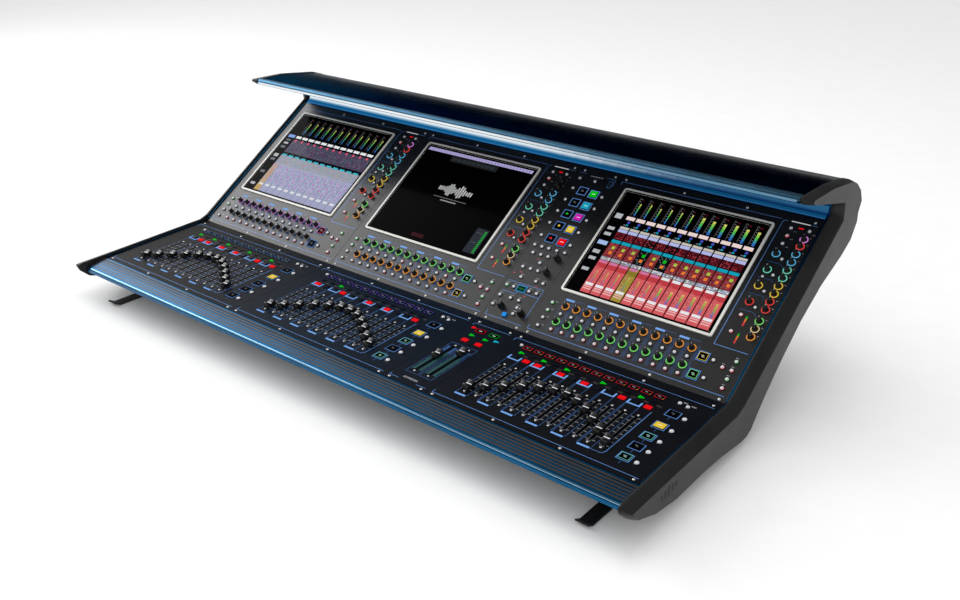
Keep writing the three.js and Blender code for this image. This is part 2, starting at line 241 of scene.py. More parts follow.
def painted(name, glow, rough=0.4):
    """Colours from the mesh's own `paint`, printed when glow is 0 and lit from behind above that."""
    material, nodes, links, shader = new_material(name)
    paint = nodes.new("ShaderNodeVertexColor")
    paint.layer_name = "paint"
    grain = add_noise(nodes, links, 700, 2.0)
    worn = nodes.new("ShaderNodeMix")
    worn.data_type = "RGBA"
    worn.blend_type = "MULTIPLY"
    worn.inputs["Factor"].default_value = 1.0
    shade = nodes.new("ShaderNodeCombineColor")
    level = ramp(nodes, links, grain.outputs["Fac"], 0.85, 1.0)
    for channel in ("Red", "Green", "Blue"):
        links.new(level, shade.inputs[channel])
    links.new(paint.outputs["Color"], worn.inputs["A"])
    links.new(shade.outputs["Color"], worn.inputs["B"])
    shader.inputs["Roughness"].default_value = rough
    if glow:
        links.new(worn.outputs["Result"], shader.inputs["Emission Color"])
        shader.inputs["Base Color"].default_value = BLACK
        shader.inputs["Emission Strength"].default_value = glow
        shader.inputs["Specular IOR Level"].default_value = 0.03
    else:
        links.new(worn.outputs["Result"], shader.inputs["Base Color"])
    return material


BRUSHED = (0.02, 1, 1)
PANEL = surface("panel_black", srgb(20, 20, 21), (0.3, 0.42), 0.0, 1500, 0.05, 0.2, specular=0.7)
# Painted reflection in the deck's colour: brown-black at the left, navy in the middle where the blue hood
# would reflect, near-black at the right.
DECK_BLACK = painted_reflection_across(
    surface("deck_black_painted_reflection", srgb(255, 255, 255), (0.3, 0.42), 0.0, 1500, 0.05, 0.2, specular=0.12),
    (
        (-0.50, srgb(23, 22, 22)),
        (-0.12, srgb(11, 23, 36)),
        (0.12, srgb(10, 20, 33)),
        (0.36, srgb(12, 14, 19)),
    ),
)
BLUE = surface("anodised_blue", srgb(14, 88, 130), (0.26, 0.38), 1.0, 420, 0.1, 0.12, BRUSHED)
MOULDED = surface("moulded_black", srgb(33, 33, 33), (0.34, 0.5), 0.0, 1300, 0.3, 0.12, specular=0.24)
HOUSING = surface("powder_coat", srgb(30, 31, 33), (0.5, 0.66), 0.0, 1100, 0.45, 0.15)
SHEET = surface("zinc_sheet", srgb(150, 152, 154), (0.3, 0.5), 0.9, 300, 0.1, 0.15, BRUSHED)
BEZEL = surface("bezel_silver", srgb(206, 205, 200), (0.34, 0.5), 0.0, 1600, 0.08, 0.06)
GLASS = surface("display_glass", srgb(3, 3, 4), (0.1, 0.16), 0.0, 300, 0.01, 0.1, specular=0.012)
CAP = surface("cap_black", srgb(17, 16, 15), (0.2, 0.34), 0.0, 1800, 0.12, 0.2, specular=0.75)
COLLAR = surface("collar_gloss", srgb(12, 15, 22), (0.12, 0.24), 0.0, 1800, 0.05, 0.2)
SCREW = surface("screw_steel", srgb(236, 236, 236), (0.2, 0.38), 0.35, 2200, 0.1, 0.1)
INLAY = surface("inlay_satin", srgb(44, 37, 32), (0.3, 0.42), 0.0, 1200, 0.1, 0.2, specular=0.7)
POLISHED = surface("polished_blue", srgb(150, 200, 236), (0.12, 0.2), 1.0, 420, 0.05, 0.08, BRUSHED)
# Painted reflection in the hood's colour: pale blue at the left end, deeper blue towards the right.
HOOD_BLUE = painted_reflection_across(
    surface("hood_anodised_painted_reflection", srgb(255, 255, 255), (0.16, 0.24), 1.0, 420, 0.03, 0.14, BRUSHED, edge=0.22),
    (
        (-0.70, srgb(36, 146, 200)),
        (-0.30, srgb(12, 94, 140)),
        (0.50, srgb(8, 70, 112)),
    ),
)
# Painted sheen: the lip is a paler copy of the hood's anodising, standing for the reflection along it.
LIP_PAINTED_SHEEN = surface("lip_painted_sheen", srgb(86, 134, 164), (0.34, 0.46), 1.0, 420, 0.1, 0.1, BRUSHED)
RUBBER = surface("rubber_black", srgb(34, 30, 28), (0.6, 0.8), 0.0, 900, 0.4, 0.2)
PRINT = painted("print_on_panel", 0.0)
LIT = painted("lit_paint", 1.0)
PICTURE = painted("picture_lit", 0.95, 0.15)
KEYCAP = painted("key_translucent", 0.0, 0.22)


# ---------- mesh building ----------
MERGE_DISTANCE = 0.00002
FLAT_ANGLE = math.radians(1)
BEVEL_ANGLE = math.radians(30)
SMOOTH_ANGLE = math.radians(35)


def ring_faces(rings, count):
    """The faces between each ring of points and the next, where every ring has the same count of points."""
    faces = []
    for here in range(0, (rings - 1) * count, count):
        there = here + count
        for i in range(count):
            after = (i + 1) % count
            faces.append((here + i, here + after, there + after, there + i))
    return faces


class Build:
    """Collects faces in millimetres on a plane, then makes one piece of them."""

    def __init__(self, name, slot, plane=LEVEL, body=BODY):
        self.name, self.slot, self.plane, self.body = name, slot, plane, body
        self.points, self.faces, self.materials = [], [], []
        self.smooth, self.index, self.paint = [], [], []

    def add(self, points, faces, material, colour=WHITE, smooth=False):
        start = len(self.points)
        self.points += [Vector(p) for p in points]
        if material not in self.materials:
            self.materials.append(material)
        for face in faces:
            self.faces.append([start + i for i in face])
            self.index.append(self.materials.index(material))
            self.smooth.append(smooth)
            self.paint.append(colour)

    def quad(self, x0, y0, x1, y1, height, material, colour=WHITE):
        points = [(x0, y0, height), (x1, y0, height), (x1, y1, height), (x0, y1, height)]
        self.add(points, [(0, 1, 2, 3)], material, colour)

    def block(self, x, y, width, depth, low, high, material, colour=WHITE, chamfer=0.0):
        """An upright block about (x, y), with its top edges cut back by the chamfer."""
        rings = [(width / 2, depth / 2, low), (width / 2, depth / 2, high - chamfer)]
        if chamfer:
            rings.append((width / 2 - chamfer, depth / 2 - chamfer, high))
        corners = ((-1, -1), (1, -1), (1, 1), (-1, 1))
        points = [(x + sx * half_x, y + sy * half_y, z) for half_x, half_y, z in rings for sx, sy in corners]
        top = len(points) - 4
        faces = [(3, 2, 1, 0), *ring_faces(len(rings), 4), (top, top + 1, top + 2, top + 3)]
        self.add(points, faces, material, colour)

    def turned(self, x, y, profile, material, colour=WHITE, sides=20):
        """A profile of (radius, height) points turned about an upright axis at (x, y)."""
        points = []
        for radius, height in profile:
            for i in range(sides):
                angle = 2 * math.pi * i / sides
                points.append((x + radius * math.cos(angle), y + radius * math.sin(angle), height))
        self.add(points, ring_faces(len(profile), sides), material, colour, True)
        self.add(points[-sides:], [tuple(range(sides))], material, colour)
        self.add(points[:sides], [tuple(reversed(range(sides)))], material, colour)

    def hoop(self, x, y, inner, outer, low, high, material, colour, sides=28):
        """A flat-topped ring with a low rounded section."""
        section = [(outer, low), (outer, high - 0.2), (outer - 0.3, high), (inner + 0.3, high),
                   (inner, high - 0.2), (inner, low)]
        points, faces, count = [], [], len(section)
        for i in range(sides):
            angle = 2 * math.pi * i / sides
            points += [(x + r * math.cos(angle), y + r * math.sin(angle), z) for r, z in section]
        for i in range(sides):
            here, there = i * count, (i + 1) % sides * count
            for k in range(count):
                after = (k + 1) % count
                faces.append((here + k, there + k, there + after, here + after))
        self.add(points, faces, material, colour, True)

    def line(self, points, width, colour, height=0.06, material=None):
        """A printed line of straight stretches through the given points."""
        for (x0, y0), (x1, y1) in zip(points, points[1:]):
            along = Vector((x1 - x0, y1 - y0)).normalized()
            side = Vector((-along.y, along.x)) * width / 2
            ends = along * width / 2
            corners = [
                (x0 - ends.x - side.x, y0 - ends.y - side.y), (x1 + ends.x - side.x, y1 + ends.y - side.y),
                (x1 + ends.x + side.x, y1 + ends.y + side.y), (x0 - ends.x + side.x, y0 - ends.y + side.y),
            ]
            self.add([(*corner, height) for corner in corners], [(0, 1, 2, 3)], material or PRINT, colour)

    def frame(self, x0, y0, x1, y1, width, colour, height=0.06, material=None):
        self.line([(x0, y0), (x1, y0), (x1, y1), (x0, y1), (x0, y0)], width, colour, height, material)

    def extruded(self, outline, x0, x1, material, smooth=False):
        """A closed outline of (y, z) points, stretched along X."""
        count = len(outline)
        points = [(x, y, z) for x in (x0, x1) for y, z in outline]
        faces = [(i, count + i, count + (i + 1) % count, (i + 1) % count) for i in range(count)]
        self.add(points, faces, material, WHITE, smooth)
        self.add(points[:count], [tuple(range(count))], material)
        self.add(points[count:], [tuple(reversed(range(count)))], material)

    def make(self, replaces=None):
        """Makes the piece, which stands for a CAD node when one is named."""
        mesh = bpy.data.meshes.new(self.name)
        world = [self.plane @ (point * MM) for point in self.points]
        mesh.from_pydata(world, [], self.faces)
        for material in self.materials:
            mesh.materials.append(material)
        mesh.polygons.foreach_set("material_index", self.index)
        mesh.polygons.foreach_set("use_smooth", self.smooth)
        layer = mesh.color_attributes.new("paint", "FLOAT_COLOR", "CORNER")
        for polygon, colour in zip(mesh.polygons, self.paint):
            for corner in polygon.loop_indices:
                layer.data[corner].color = colour
        mesh.update()
        piece = bpy.data.objects.new(self.name, mesh)
        bpy.context.scene.collection.objects.link(piece)
        finish_piece(piece, self.body, replaces)
        return piece


def make_all(*builds):
    for build in builds:
        build.make()


def finish_piece(piece, body, replaces=None):
    """Puts the piece on its CAD body and hides the CAD node that it replaces."""
    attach(piece, body)
    if replaces:
        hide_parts(replaces)


def add_bevel(piece, width, segments):
    edge = piece.modifiers.new("edge", "BEVEL")
    edge.width = width * MM
    edge.segments = segments
    edge.limit_method = "ANGLE"
    edge.angle_limit = BEVEL_ANGLE
    edge.harden_normals = True


def merged(mesh):
    """The mesh with its doubled corners joined and its flat triangles merged into whole faces."""
    made = bmesh.new()
    made.from_mesh(mesh)
    bmesh.ops.remove_doubles(made, verts=made.verts, dist=MERGE_DISTANCE)
    bmesh.ops.dissolve_limit(made, angle_limit=FLAT_ANGLE, verts=made.verts, edges=made.edges)
    return made


def softened(node, material, width, segments=2):
    """A copy of a CAD node with its edges rounded, which stands for the node."""
    mesh = frame["nodes"][node].data.copy()
    mesh.materials.clear()
    mesh.materials.append(material)
    made = merged(mesh)
    bmesh.ops.recalc_face_normals(made, faces=made.faces)
    for edge in made.edges:
        edge.smooth = edge.calc_face_angle(0) < SMOOTH_ANGLE
    for face in made.faces:
        face.smooth = True
        face.material_index = 0
    made.to_mesh(mesh)
    made.free()
    piece = bpy.data.objects.new(node + "_finished", mesh)
    bpy.context.scene.collection.objects.link(piece)
    add_bevel(piece, width, segments)
    finish_piece(piece, BODY, node)


# ---------- housing, armrest, hood, cheeks ----------
CHEEK_ROUND = 19.0  # width of the fall from the top edge to the outer face
TOP_INSET = 15.0  # how far the outer face lies below the top edge
NOSE_INSET = 8.0
CHEEK_INSET = 6.0  # the same along the back and the bottom
ARM_INSET = 3.2  # and on the slim arm at the end of the hood
ARM_HEIGHT = 255.0  # the arm lies above this height, and in front of ARM_BACK
ARM_BACK = 420.0
NOSE_BACK = -300.0  # the nose lies in front of this line
CHEEK_STEPS = 7
BADGE_RISE = 0.4
BADGE_BARS = (4.0, 7.0, 10.0, 7.0, 4.0)  # half the height of each bar
BADGE_PLACE = (-262.0, -34.0)  # middle of the first bar
BADGE_STEP = (11.0, 0.8)
BADGE_HALF = 2.4
TOP_EDGE = 6.0  # height of the cheek's top edge over the panels


def cheek_outline(node):
    """The (y, z) points of a cheek's side, in order, read from the rim of its outer face."""
    made = merged(frame["nodes"][node].data)
    side = math.copysign(1, centre_x(node))

    def outwardness(face):
        return abs(face.normal.x) * (1 + face.calc_center_median().x * side) * face.calc_area()

    outer = max(made.faces, key=outwardness)
    rim = []
    for vert in outer.verts:
        other = next(e.other_vert(vert) for e in vert.link_edges if outer not in e.link_faces)
        rim.append((other.co - BEND) / MM)
    made.free()
    points = [Vector((p.y, p.z)) for p in rim]
    area = sum(a.x * b.y - b.x * a.y for a, b in zip(points, points[1:] + points[:1]))
    return points if area > 0 else points[::-1]


def inset_limit(point):
    """How far one (y, z) point of the outline comes in on the outer face."""
    if point.y > ARM_HEIGHT and point.x < ARM_BACK:
        return ARM_INSET
    over = [point.y * math.cos(slope) - point.x * math.sin(slope) for slope in (DECK_SLOPE, SCREEN_SLOPE)]
    on_top = min(abs(height - TOP_EDGE) for height in over) < 0.5
    if not on_top:
        return CHEEK_INSET
    return NOSE_INSET if point.x < NOSE_BACK else TOP_INSET


def inset(points, amount):
    """The outline moved inward by a share of each point's own limit."""
    moved = []
    for i, point in enumerate(points):
        before, after = points[i - 1], points[(i + 1) % len(points)]
        first, second = (point - before).normalized(), (after - point).normalized()
        inward = Vector((-first.y - second.y, first.x + second.x)).normalized()
        spread = max(0.6, inward.dot(Vector((-first.y, first.x))))
        moved.append(point + inward * amount * inset_limit(point) / spread)
    return moved


def rounded_cheek(node):
    """An end cheek with a broad round along its outer edge, a fine one inside, and a plain raised badge."""
    outline = cheek_outline(node)
    side = math.copysign(1, centre_x(node))
    low, high = span_x(node)
    inner_x, outer_x = (low, high) if side > 0 else (high, low)
    face_x = outer_x - side * BADGE_RISE
    rings = [(inner_x, 0.08), (inner_x + side * 0.4, 0.02), (inner_x + side * 1.4, 0.0)]
    for step in range(CHEEK_STEPS + 1):
        turn = math.radians(90 * step / CHEEK_STEPS)
        fall = 0.75 * math.sin(turn) + 0.25 * (1 - math.cos(turn))
        rings.append((face_x - side * CHEEK_ROUND * (1 - math.sin(turn)), fall))
    build = Build(node + "_finished", "moulded_black")
    points = [(x, p.x, p.y) for x, share in rings for p in inset(outline, share)]
    count = len(outline)
    faces = [face if side < 0 else face[::-1] for face in ring_faces(len(rings), count)]
    build.add(points, faces, MOULDED, WHITE, True)
    ends = (tuple(range(count)), tuple(range(count))[::-1])
    build.add(points[:count], [ends[0] if side < 0 else ends[1]], MOULDED)
    build.add(points[-count:], [ends[1] if side < 0 else ends[0]], MOULDED)
    near, far = sorted((face_x - side, outer_x))
    for i, tall in enumerate(BADGE_BARS):
        y, z = (place + i * step for place, step in zip(BADGE_PLACE, BADGE_STEP))
        front, back, low, high = y - BADGE_HALF, y + BADGE_HALF, z - tall, z + tall
        build.extruded([(front, low), (back, low), (back, high), (front, high)], near, far, RUBBER)
    piece = build.make(node)
    made = bmesh.new()
    made.from_mesh(piece.data)
    bmesh.ops.recalc_face_normals(made, faces=made.faces)
    made.to_mesh(piece.data)
    made.free()


def dress_housing():
    for node, material in (("chassis", HOUSING), ("power_supply", SHEET), ("light_cove", BLUE)):
        frame["nodes"][node].data.materials.clear()
        frame["nodes"][node].data.materials.append(material)
    softened("hood", HOOD_BLUE, 0.5)
    softened("armrest", BLUE, 0.5)
    for side in ("left", "right"):
        rounded_cheek("cheek_" + side)
        softened("front_foot_" + side, HOUSING, 0.6)
    for bank in BANKS:
        softened("touchscreen_" + bank, BEZEL, 0.9, 3)
    for module in (*BANKS, "master"):
        softened("deck_panel_" + module, DECK_BLACK, 0.3)
        softened("screen_panel_" + module, PANEL, 0.3)


GROOVE_COUNT = 6
GROOVE_FIRST = -292.0
GROOVE_PITCH = 7.0
GROOVE_FLOOR = -11.3
GROOVE_FALL = 1.05
INLAY_HALF = 1.75
INLAY_RISE = 1.65
BEAD_Y, BEAD_Z = -335.4, -18.2
BEAD_RADIUS = 1.9
BEAD_STEPS = 8


def armrest_strips():
    """Dark inlays along the grooves of the armrest, and the polished bead along its nose."""
    build = Build("armrest_inlays", "black_rubber")
    low, high = span_x("armrest")
    tilt = INLAY_HALF * GROOVE_FALL / GROOVE_PITCH
    for i in range(GROOVE_COUNT):
        y = GROOVE_FIRST - i * GROOVE_PITCH
        floor = GROOVE_FLOOR - i * GROOVE_FALL
        top = floor + INLAY_RISE
        outline = [(y - INLAY_HALF, floor + 0.1), (y + INLAY_HALF, floor + 0.1), (y + INLAY_HALF, top + tilt),
                   (y - INLAY_HALF, top - tilt)]
        build.extruded(outline, low + 1.5, high - 1.5, INLAY)
    build.make()
    bead = Build("armrest_bead", "blue_anodised")
    outline = []
    for i in range(BEAD_STEPS + 1):
        turn = math.radians(60 + 150 * i / BEAD_STEPS)
        outline.append((BEAD_Y + BEAD_RADIUS * math.cos(turn), BEAD_Z + BEAD_RADIUS * math.sin(turn)))
    bead.extruded(outline, low + 1, high - 1, POLISHED, True)
    bead.make()


TRIM_GAP = 0.3


def edge_trims():
    """Blue extrusions between the panels and the end cheeks, along the deck and up the raised panels."""
    inner = span_x("deck_panel_right")[1] + TRIM_GAP
    outer = span_x("cheek_right")[0] - TRIM_GAP
    for side, end in ((-1, "left"), (1, "right")):
        for name, plane, middle, length in (("deck", DECK, -144, 280), ("raised", SCREENS, 213, 420)):
            trim = Build(f"{name}_trim_{end}", "blue_anodised", plane)
            x = side * (inner + outer) / 2
            trim.block(x, middle, outer - inner, length, -2.6, 2.4, BLUE, chamfer=0.6)
            trim.make()


# The wall of the recess from its front foot up, as (y, z) points, with the painted light at each: a glowing
# wash that stands for light on the wall.
LAMP_WALL = ((359.2, 233.6), (363.5, 237.0), (366.2, 239.1), (368.4, 240.9), (371.4, 245.6), (374.6, 255.0))
WASH_PAINTED_SHADES = (
    srgb(50, 118, 176), srgb(2, 88, 140), srgb(20, 98, 146), srgb(76, 136, 178), srgb(236, 247, 254),
    srgb(246, 252, 255),
)
WASH_PAINTED_BLUE = srgb(44, 96, 134)
LIP_PAINTED_HIGHLIGHT = ((202.8, 310.3), (203.2, 315.1))  # a painted highlight along the underside of the hood's lip
LIP_HIGHLIGHT_BLUE = srgb(98, 142, 172)
LAMP_STEPS = 40
LAMP_ROWS = 4
LAMP_MARGIN = 6.0
FADE_MIDDLE = 0.655  # share of the width where the painted light is half faded
FADE_RATE = 20.0


def blend(first, second, share):
    return tuple(a + (b - a) * share for a, b in zip(first, second))


def paint_cove_light():
    """The recess wall's light wash, painted as a long glowing strip over the wall, white at the left and blue
    at the right, with a painted highlight on the underside of the hood's lip.
    """
    build = Build("cove_painted_light", "key_plastic")
    low, high = span_x("light_cove")
    step = (high - low - 2 * LAMP_MARGIN) / LAMP_STEPS
    for i in range(LAMP_STEPS):
        fade = 1 / (1 + math.exp((FADE_MIDDLE - (i + 0.5) / LAMP_STEPS) * FADE_RATE))
        x0 = low + LAMP_MARGIN + step * i
        x1 = x0 + step

        def strip(lower, upper, colour):
            points = [(x0, *lower), (x1, *lower), (x1, *upper), (x0, *upper)]
            build.add(points, [(0, 1, 2, 3)], LIT, (*colour[:3], 1))

        # painted light on the recess wall, its shade changing up the wall and fading from white to blue along
        # the console
        for stretch in range(len(LAMP_WALL) - 1):
            ends = LAMP_WALL[stretch], LAMP_WALL[stretch + 1]
            for row in range(LAMP_ROWS):
                shade = blend(WASH_PAINTED_SHADES[stretch], WASH_PAINTED_SHADES[stretch + 1], (row + 0.5) / LAMP_ROWS)
                dim = blend(shade, BLACK, 0.4)
                if stretch > 1:
                    dim = tuple(a * b for a, b in zip(shade, WASH_PAINTED_BLUE))
                lower, upper = blend(*ends, row / LAMP_ROWS), blend(*ends, (row + 1) / LAMP_ROWS)
                strip(lower, upper, blend(shade, dim, fade))
        # painted highlight on the underside of the hood's lip, white at the left, pale blue at the right
        strip(*LIP_PAINTED_HIGHLIGHT, blend(WASH_PAINTED_SHADES[-1], LIP_HIGHLIGHT_BLUE, fade))
    build.make()


LIP_OUTLINE = (
    (203.0, 312.6), (203.4, 315.0), (204.6, 317.4), (206.6, 319.4), (209.4, 320.7), (213.0, 321.3),
    (219.0, 321.4), (219.0, 319.8), (208.0, 319.0), (205.0, 312.6),
)


def hood_lip():
    """Bright rounded lip along the front of the hood; its pale blue is a painted sheen."""
    build = Build("hood_lip", "blue_anodised")
    low, high = span_x("hood")
    build.extruded(LIP_OUTLINE, low + 1, high - 1, LIP_PAINTED_SHEEN, True)
    build.make()


# ---------- small controls ----------
def screw(build, x, y, radius=2.6):
    """A domed screw head, with a dark disc in its middle that paints the shade of its socket."""
    head = [(radius, 0), (radius, 0.5), (radius * 0.75, 1.1), (radius * 0.42, 1.25)]
    build.turned(x, y, head, SCREW, sides=12)
    # painted shade: a thin dark disc where the socket would be
    build.turned(x, y, [(radius * 0.4, 1.25), (radius * 0.38, 1.28)], CAP, sides=6)


def encoder(knobs, rings, x, y, colour):
    """A tall rotary knob with a pointer, in a lit ring."""
    profile = [(5.6, 0.1), (5.6, 1.2), (5.0, 1.8), (4.7, 11.0), (4.3, 11.9), (3.6, 12.3), (2.9, 12.1)]
    knobs.turned(x, y, profile, CAP)
    knobs.block(x, y + 2.9, 0.8, 2.4, 11.9, 12.45, PRINT, PALE)
    rings.hoop(x, y, 6.5, 8.2, 0.02, 0.9, LIT, colour)


KEY_DOME = ((1.0, 1.1), (0.98, 2.3), (0.84, 3.1), (0.5, 3.6), (0.2, 3.75))  # share of the radius, height


def key(build, x, y, tint=None, radius=3.3, colour=KEY_GREY):
    """A small round key: dark collar, domed translucent cap, and a tinted base when it has a lamp."""
    build.turned(x, y, [(radius + 1.6, 0), (radius + 1.5, 0.7), (radius + 0.4, 1.1)], COLLAR, sides=18)
    if tint:
        build.turned(x, y, [(radius + 0.45, 1.1), (radius + 0.35, 1.7)], LIT, tint, sides=18)
    dome = [(radius * share, rise) for share, rise in KEY_DOME]
    build.turned(x, y, dome, KEYCAP, colour, sides=18)


def display_key(build, x, y, border, fill=None, width=18.5, depth=17.5):
    """A square key with a small display in it. It is filled with light, or dark with a few marks."""
    build.block(x, y, width + 5, depth + 5, 0, 0.9, COLLAR, chamfer=0.3)
    build.frame(x - width / 2 - 1.2, y - depth / 2 - 1.2, x + width / 2 + 1.2, y + depth / 2 + 1.2,
                1.5, PRINT_BLUE, 0.98, LIT)
    build.block(x, y, width, depth, 0.9, 2.2, GLASS, chamfer=0.4)
    half_x, half_y = width / 2 - 0.9, depth / 2 - 0.9
    if fill:
        build.quad(x - half_x, y - half_y, x + half_x, y + half_y, 2.24, LIT, fill)
        build.quad(x - 4, y - 0.6, x + 4, y + 0.6, 2.28, LIT, WHITE)
        return
    build.frame(x - half_x, y - half_y, x + half_x, y + half_y, 0.9, border, 2.25, LIT)
    mark = GREY if border == BLACK else blend(border, WHITE, 0.4)
    build.quad(x - 3.6, y + 0.8, x + 2.2, y + 2.0, 2.26, LIT, mark)
    build.quad(x - 1.6, y - 2.2, x + 3.6, y - 1.0, 2.26, LIT, mark)


def caption(build, x, y, width=7.0, colour=GREY, rows=1):
    """Rows of fine print, as short dashes."""
    count = max(2, round(width / 2.4))
    dash = width / count
    for row in range(rows):
        low = y - row * 2.0
        for i in range(count):
            start = x - width / 2 + i * dash
            build.quad(start, low, start + dash * 0.66, low + 1.0, 0.05, PRINT, colour)


# ---------- raised panels ----------
BORDER = 8.0  # from a panel's edge to its printed border
ENCODER_PITCH = 25.15
FIRST_ENCODER = -133.3  # from the middle of the screen
ROWS = (84.0, 46.0)
KEY_ROWS = (64.2, 26.5)
ENCODER_COLOURS = {
    "left": (srgb(168, 108, 178), srgb(112, 110, 108)),
    "centre": (LIME, ORANGE),
    "right": (ORANGE, LIME),
}
RED_KEYS = {
    "left": (set(), set(range(12))),
    "centre": ({2, 5, 10}, {0, 4, 7, 11}),
    "right": (set(), set(range(12))),
}
DISPLAY_BORDERS = {"left": (RED, BLACK), "centre": (LIME, SUN), "right": (SUN, LIME)}
SIDE_KEYS = ((83.5, GREEN), (64.5, GREEN), (45.5, None), (25.8, None))
END_KEYS = (
    (212.5, 65.5, RED), (230.5, 84.5, GREEN), (230.5, 65, RED), (230.5, 46, GREEN), (230.5, 26.5, RED),
)
RIGHT_COLUMN = (
    (335.8, SKY), (316.3, SKY), (297.0, TEAL), (278.0, TEAL), (259.0, YELLOW), (240.5, YELLOW),
    (222.0, CORAL), (203.6, CORAL), (177.0, LIME), (159.0, CREAM), (141.0, ORANGE),
)
LEFT_COLUMN = ((327.0, SKY), (288.0, TEAL), (249.3, YELLOW), (211.0, CORAL))
STRIP_KNOBS = (196.4, 231.0)  # the two columns of encoders at the right of a screen, from its middle
TOP_KEYS = ((198, 391, None), (233.4, 392.8, None), (198.3, 372.1, RED), (198.2, 352, None))
METER_KEYS = ((207, 158, 195, 179), (209, 119, 193.5, 140.5))  # place of a meter, then of its key
SIDE_KEY_X = -164.0
BANK_DISPLAY_X = 170.5
FRAME_LOW = 12.5  # printed border of a raised panel
FRAME_HIGH = 408.5


def lower_controls(bank):
    """Two rows of encoders with keys under them, below a screen."""
    middle = centre_x("touchscreen_" + bank)
    keys = Build("encoder_keys_" + bank, "key_plastic", SCREENS)
    prints = Build("panel_print_" + bank, "panel_black", SCREENS)
    shows = Build("display_keys_" + bank, "display_glass", SCREENS)
    for row, (up, key_up) in enumerate(zip(ROWS, KEY_ROWS)):
        knobs = Build(f"encoder_knobs_{bank}_row_{row + 1}", "fader_cap", SCREENS)
        rings = Build(f"encoder_rings_{bank}_row_{row + 1}", "key_plastic", SCREENS)
        for i in range(STRIPS):
            x = middle + FIRST_ENCODER + i * ENCODER_PITCH
            encoder(knobs, rings, x, up, ENCODER_COLOURS[bank][row])
            key(keys, x, key_up, DIM_RED if i in RED_KEYS[bank][row] else None)
            prints.line([(x + ENCODER_PITCH / 2, up + 9), (x + ENCODER_PITCH / 2, key_up - 5)], 0.6, DIM_BLUE)
        knobs.make()
        rings.make()
    for i in range(STRIPS):
        x = middle + FIRST_ENCODER + i * ENCODER_PITCH
        if i % 2 == 0:
            prints.quad(x - 8, 97.6, x + 12, 102.0, 0.08, LIT, BAR_BLUE)
            prints.line([(x + 12.5, 101.6), (x + ENCODER_PITCH + 9, 101.6)], 0.6, DIM_BLUE)
        caption(prints, x, 54.5, 5, GREY)
        for side in (-1, 1):
            prints.line([(x + side * 9.6, 92), (x + side * 9.6, 20)], 0.5, DIM_BLUE)
    for up, tint in SIDE_KEYS:
        key(keys, middle + SIDE_KEY_X, up, tint)
        caption(prints, middle + SIDE_KEY_X + 9, up + 4, 6, PALE)
    for out, up, tint in END_KEYS:
        key(keys, middle + out, up, tint)
        caption(prints, middle + out - 1, up + 7, 6, PALE)
    for up, border in zip((74.0, 34.3), DISPLAY_BORDERS[bank]):
        display_key(shows, middle + BANK_DISPLAY_X, up, border)
        key(keys, middle + BANK_DISPLAY_X + 21, up - 0.5)
    low, high = span_x("screen_panel_" + bank)
    left, screen_top = low + BORDER, SCREEN_LOW + SCREEN_HEIGHT
    prints.line([(left, 22), (left, FRAME_LOW), (high - BORDER, FRAME_LOW)], 1.0, PRINT_BLUE)
    prints.line([(left, screen_top + 6), (left, FRAME_HIGH), (middle + 172, FRAME_HIGH)], 1.0, PRINT_BLUE)
    channel_strip(bank, middle, prints, keys, high)
    make_all(keys, prints, shows)


def channel_strip(bank, middle, prints, keys, high):
    """The two columns of encoders at the right of a screen, with their keys and meters."""
    knobs = Build("strip_knobs_" + bank, "fader_cap", SCREENS)
    rings = Build("strip_rings_" + bank, "key_plastic", SCREENS)
    top_tints = (BLACK, BLACK) if bank == "centre" else (ORCHID, CORAL)
    left, right = (middle + out for out in STRIP_KNOBS)
    for up, colour in (*zip((372.5, 355.4), top_tints), *RIGHT_COLUMN):
        encoder(knobs, rings, right, up, colour)
        caption(prints, right + 11.5, up + 5, 3.4, PALE)
    for up, colour in LEFT_COLUMN:
        encoder(knobs, rings, left, up, colour)
        caption(prints, left - 4.4, up + 12, 6, GREY)
        key(keys, left + 15.8, up - 9.5, None, 3.0)
        under = up - 20
        prints.line([(middle + 186, under), (middle + 214, under), (middle + 220, under - 6)], 0.6, DIM_BLUE)
    key(keys, left - 1, 270, None, 2.6)
    for out, up, tint in TOP_KEYS:
        key(keys, middle + out, up, tint)
        caption(prints, middle + out + 11, up - 6, 6, PALE)
    prints.quad(middle + 211, 394.2, middle + 220.5, 397.0, 0.1, LIT, RED)
    prints.quad(middle + 192, 406.6, middle + 229, 408.8, 0.1, LIT, PALE)
    inner, outer = middle + 176, high - 6.5
    prints.line([(middle + 184, 408), (inner, 404), (inner, 106), (outer, 106)], 1.0, PRINT_BLUE)
    prints.line([(right + 1, 408), (outer, 408)], 1.0, PRINT_BLUE)
    for out, up, out_key, up_key in METER_KEYS:
        key(keys, middle + out_key, up_key, RED)
        meter(prints, middle + out, up, 22)
    make_all(knobs, rings)


def meter(build, x, low, length):
    """A small level meter: red, orange, then green."""
    segments = 12
    step = length / segments
    for i in range(segments):
        colour = CORAL if i < 5 else AMBER if i < 9 else GREEN
        build.quad(x - 1.6, low + i * step, x + 1.6, low + (i + 0.85) * step, 0.1, LIT, colour)


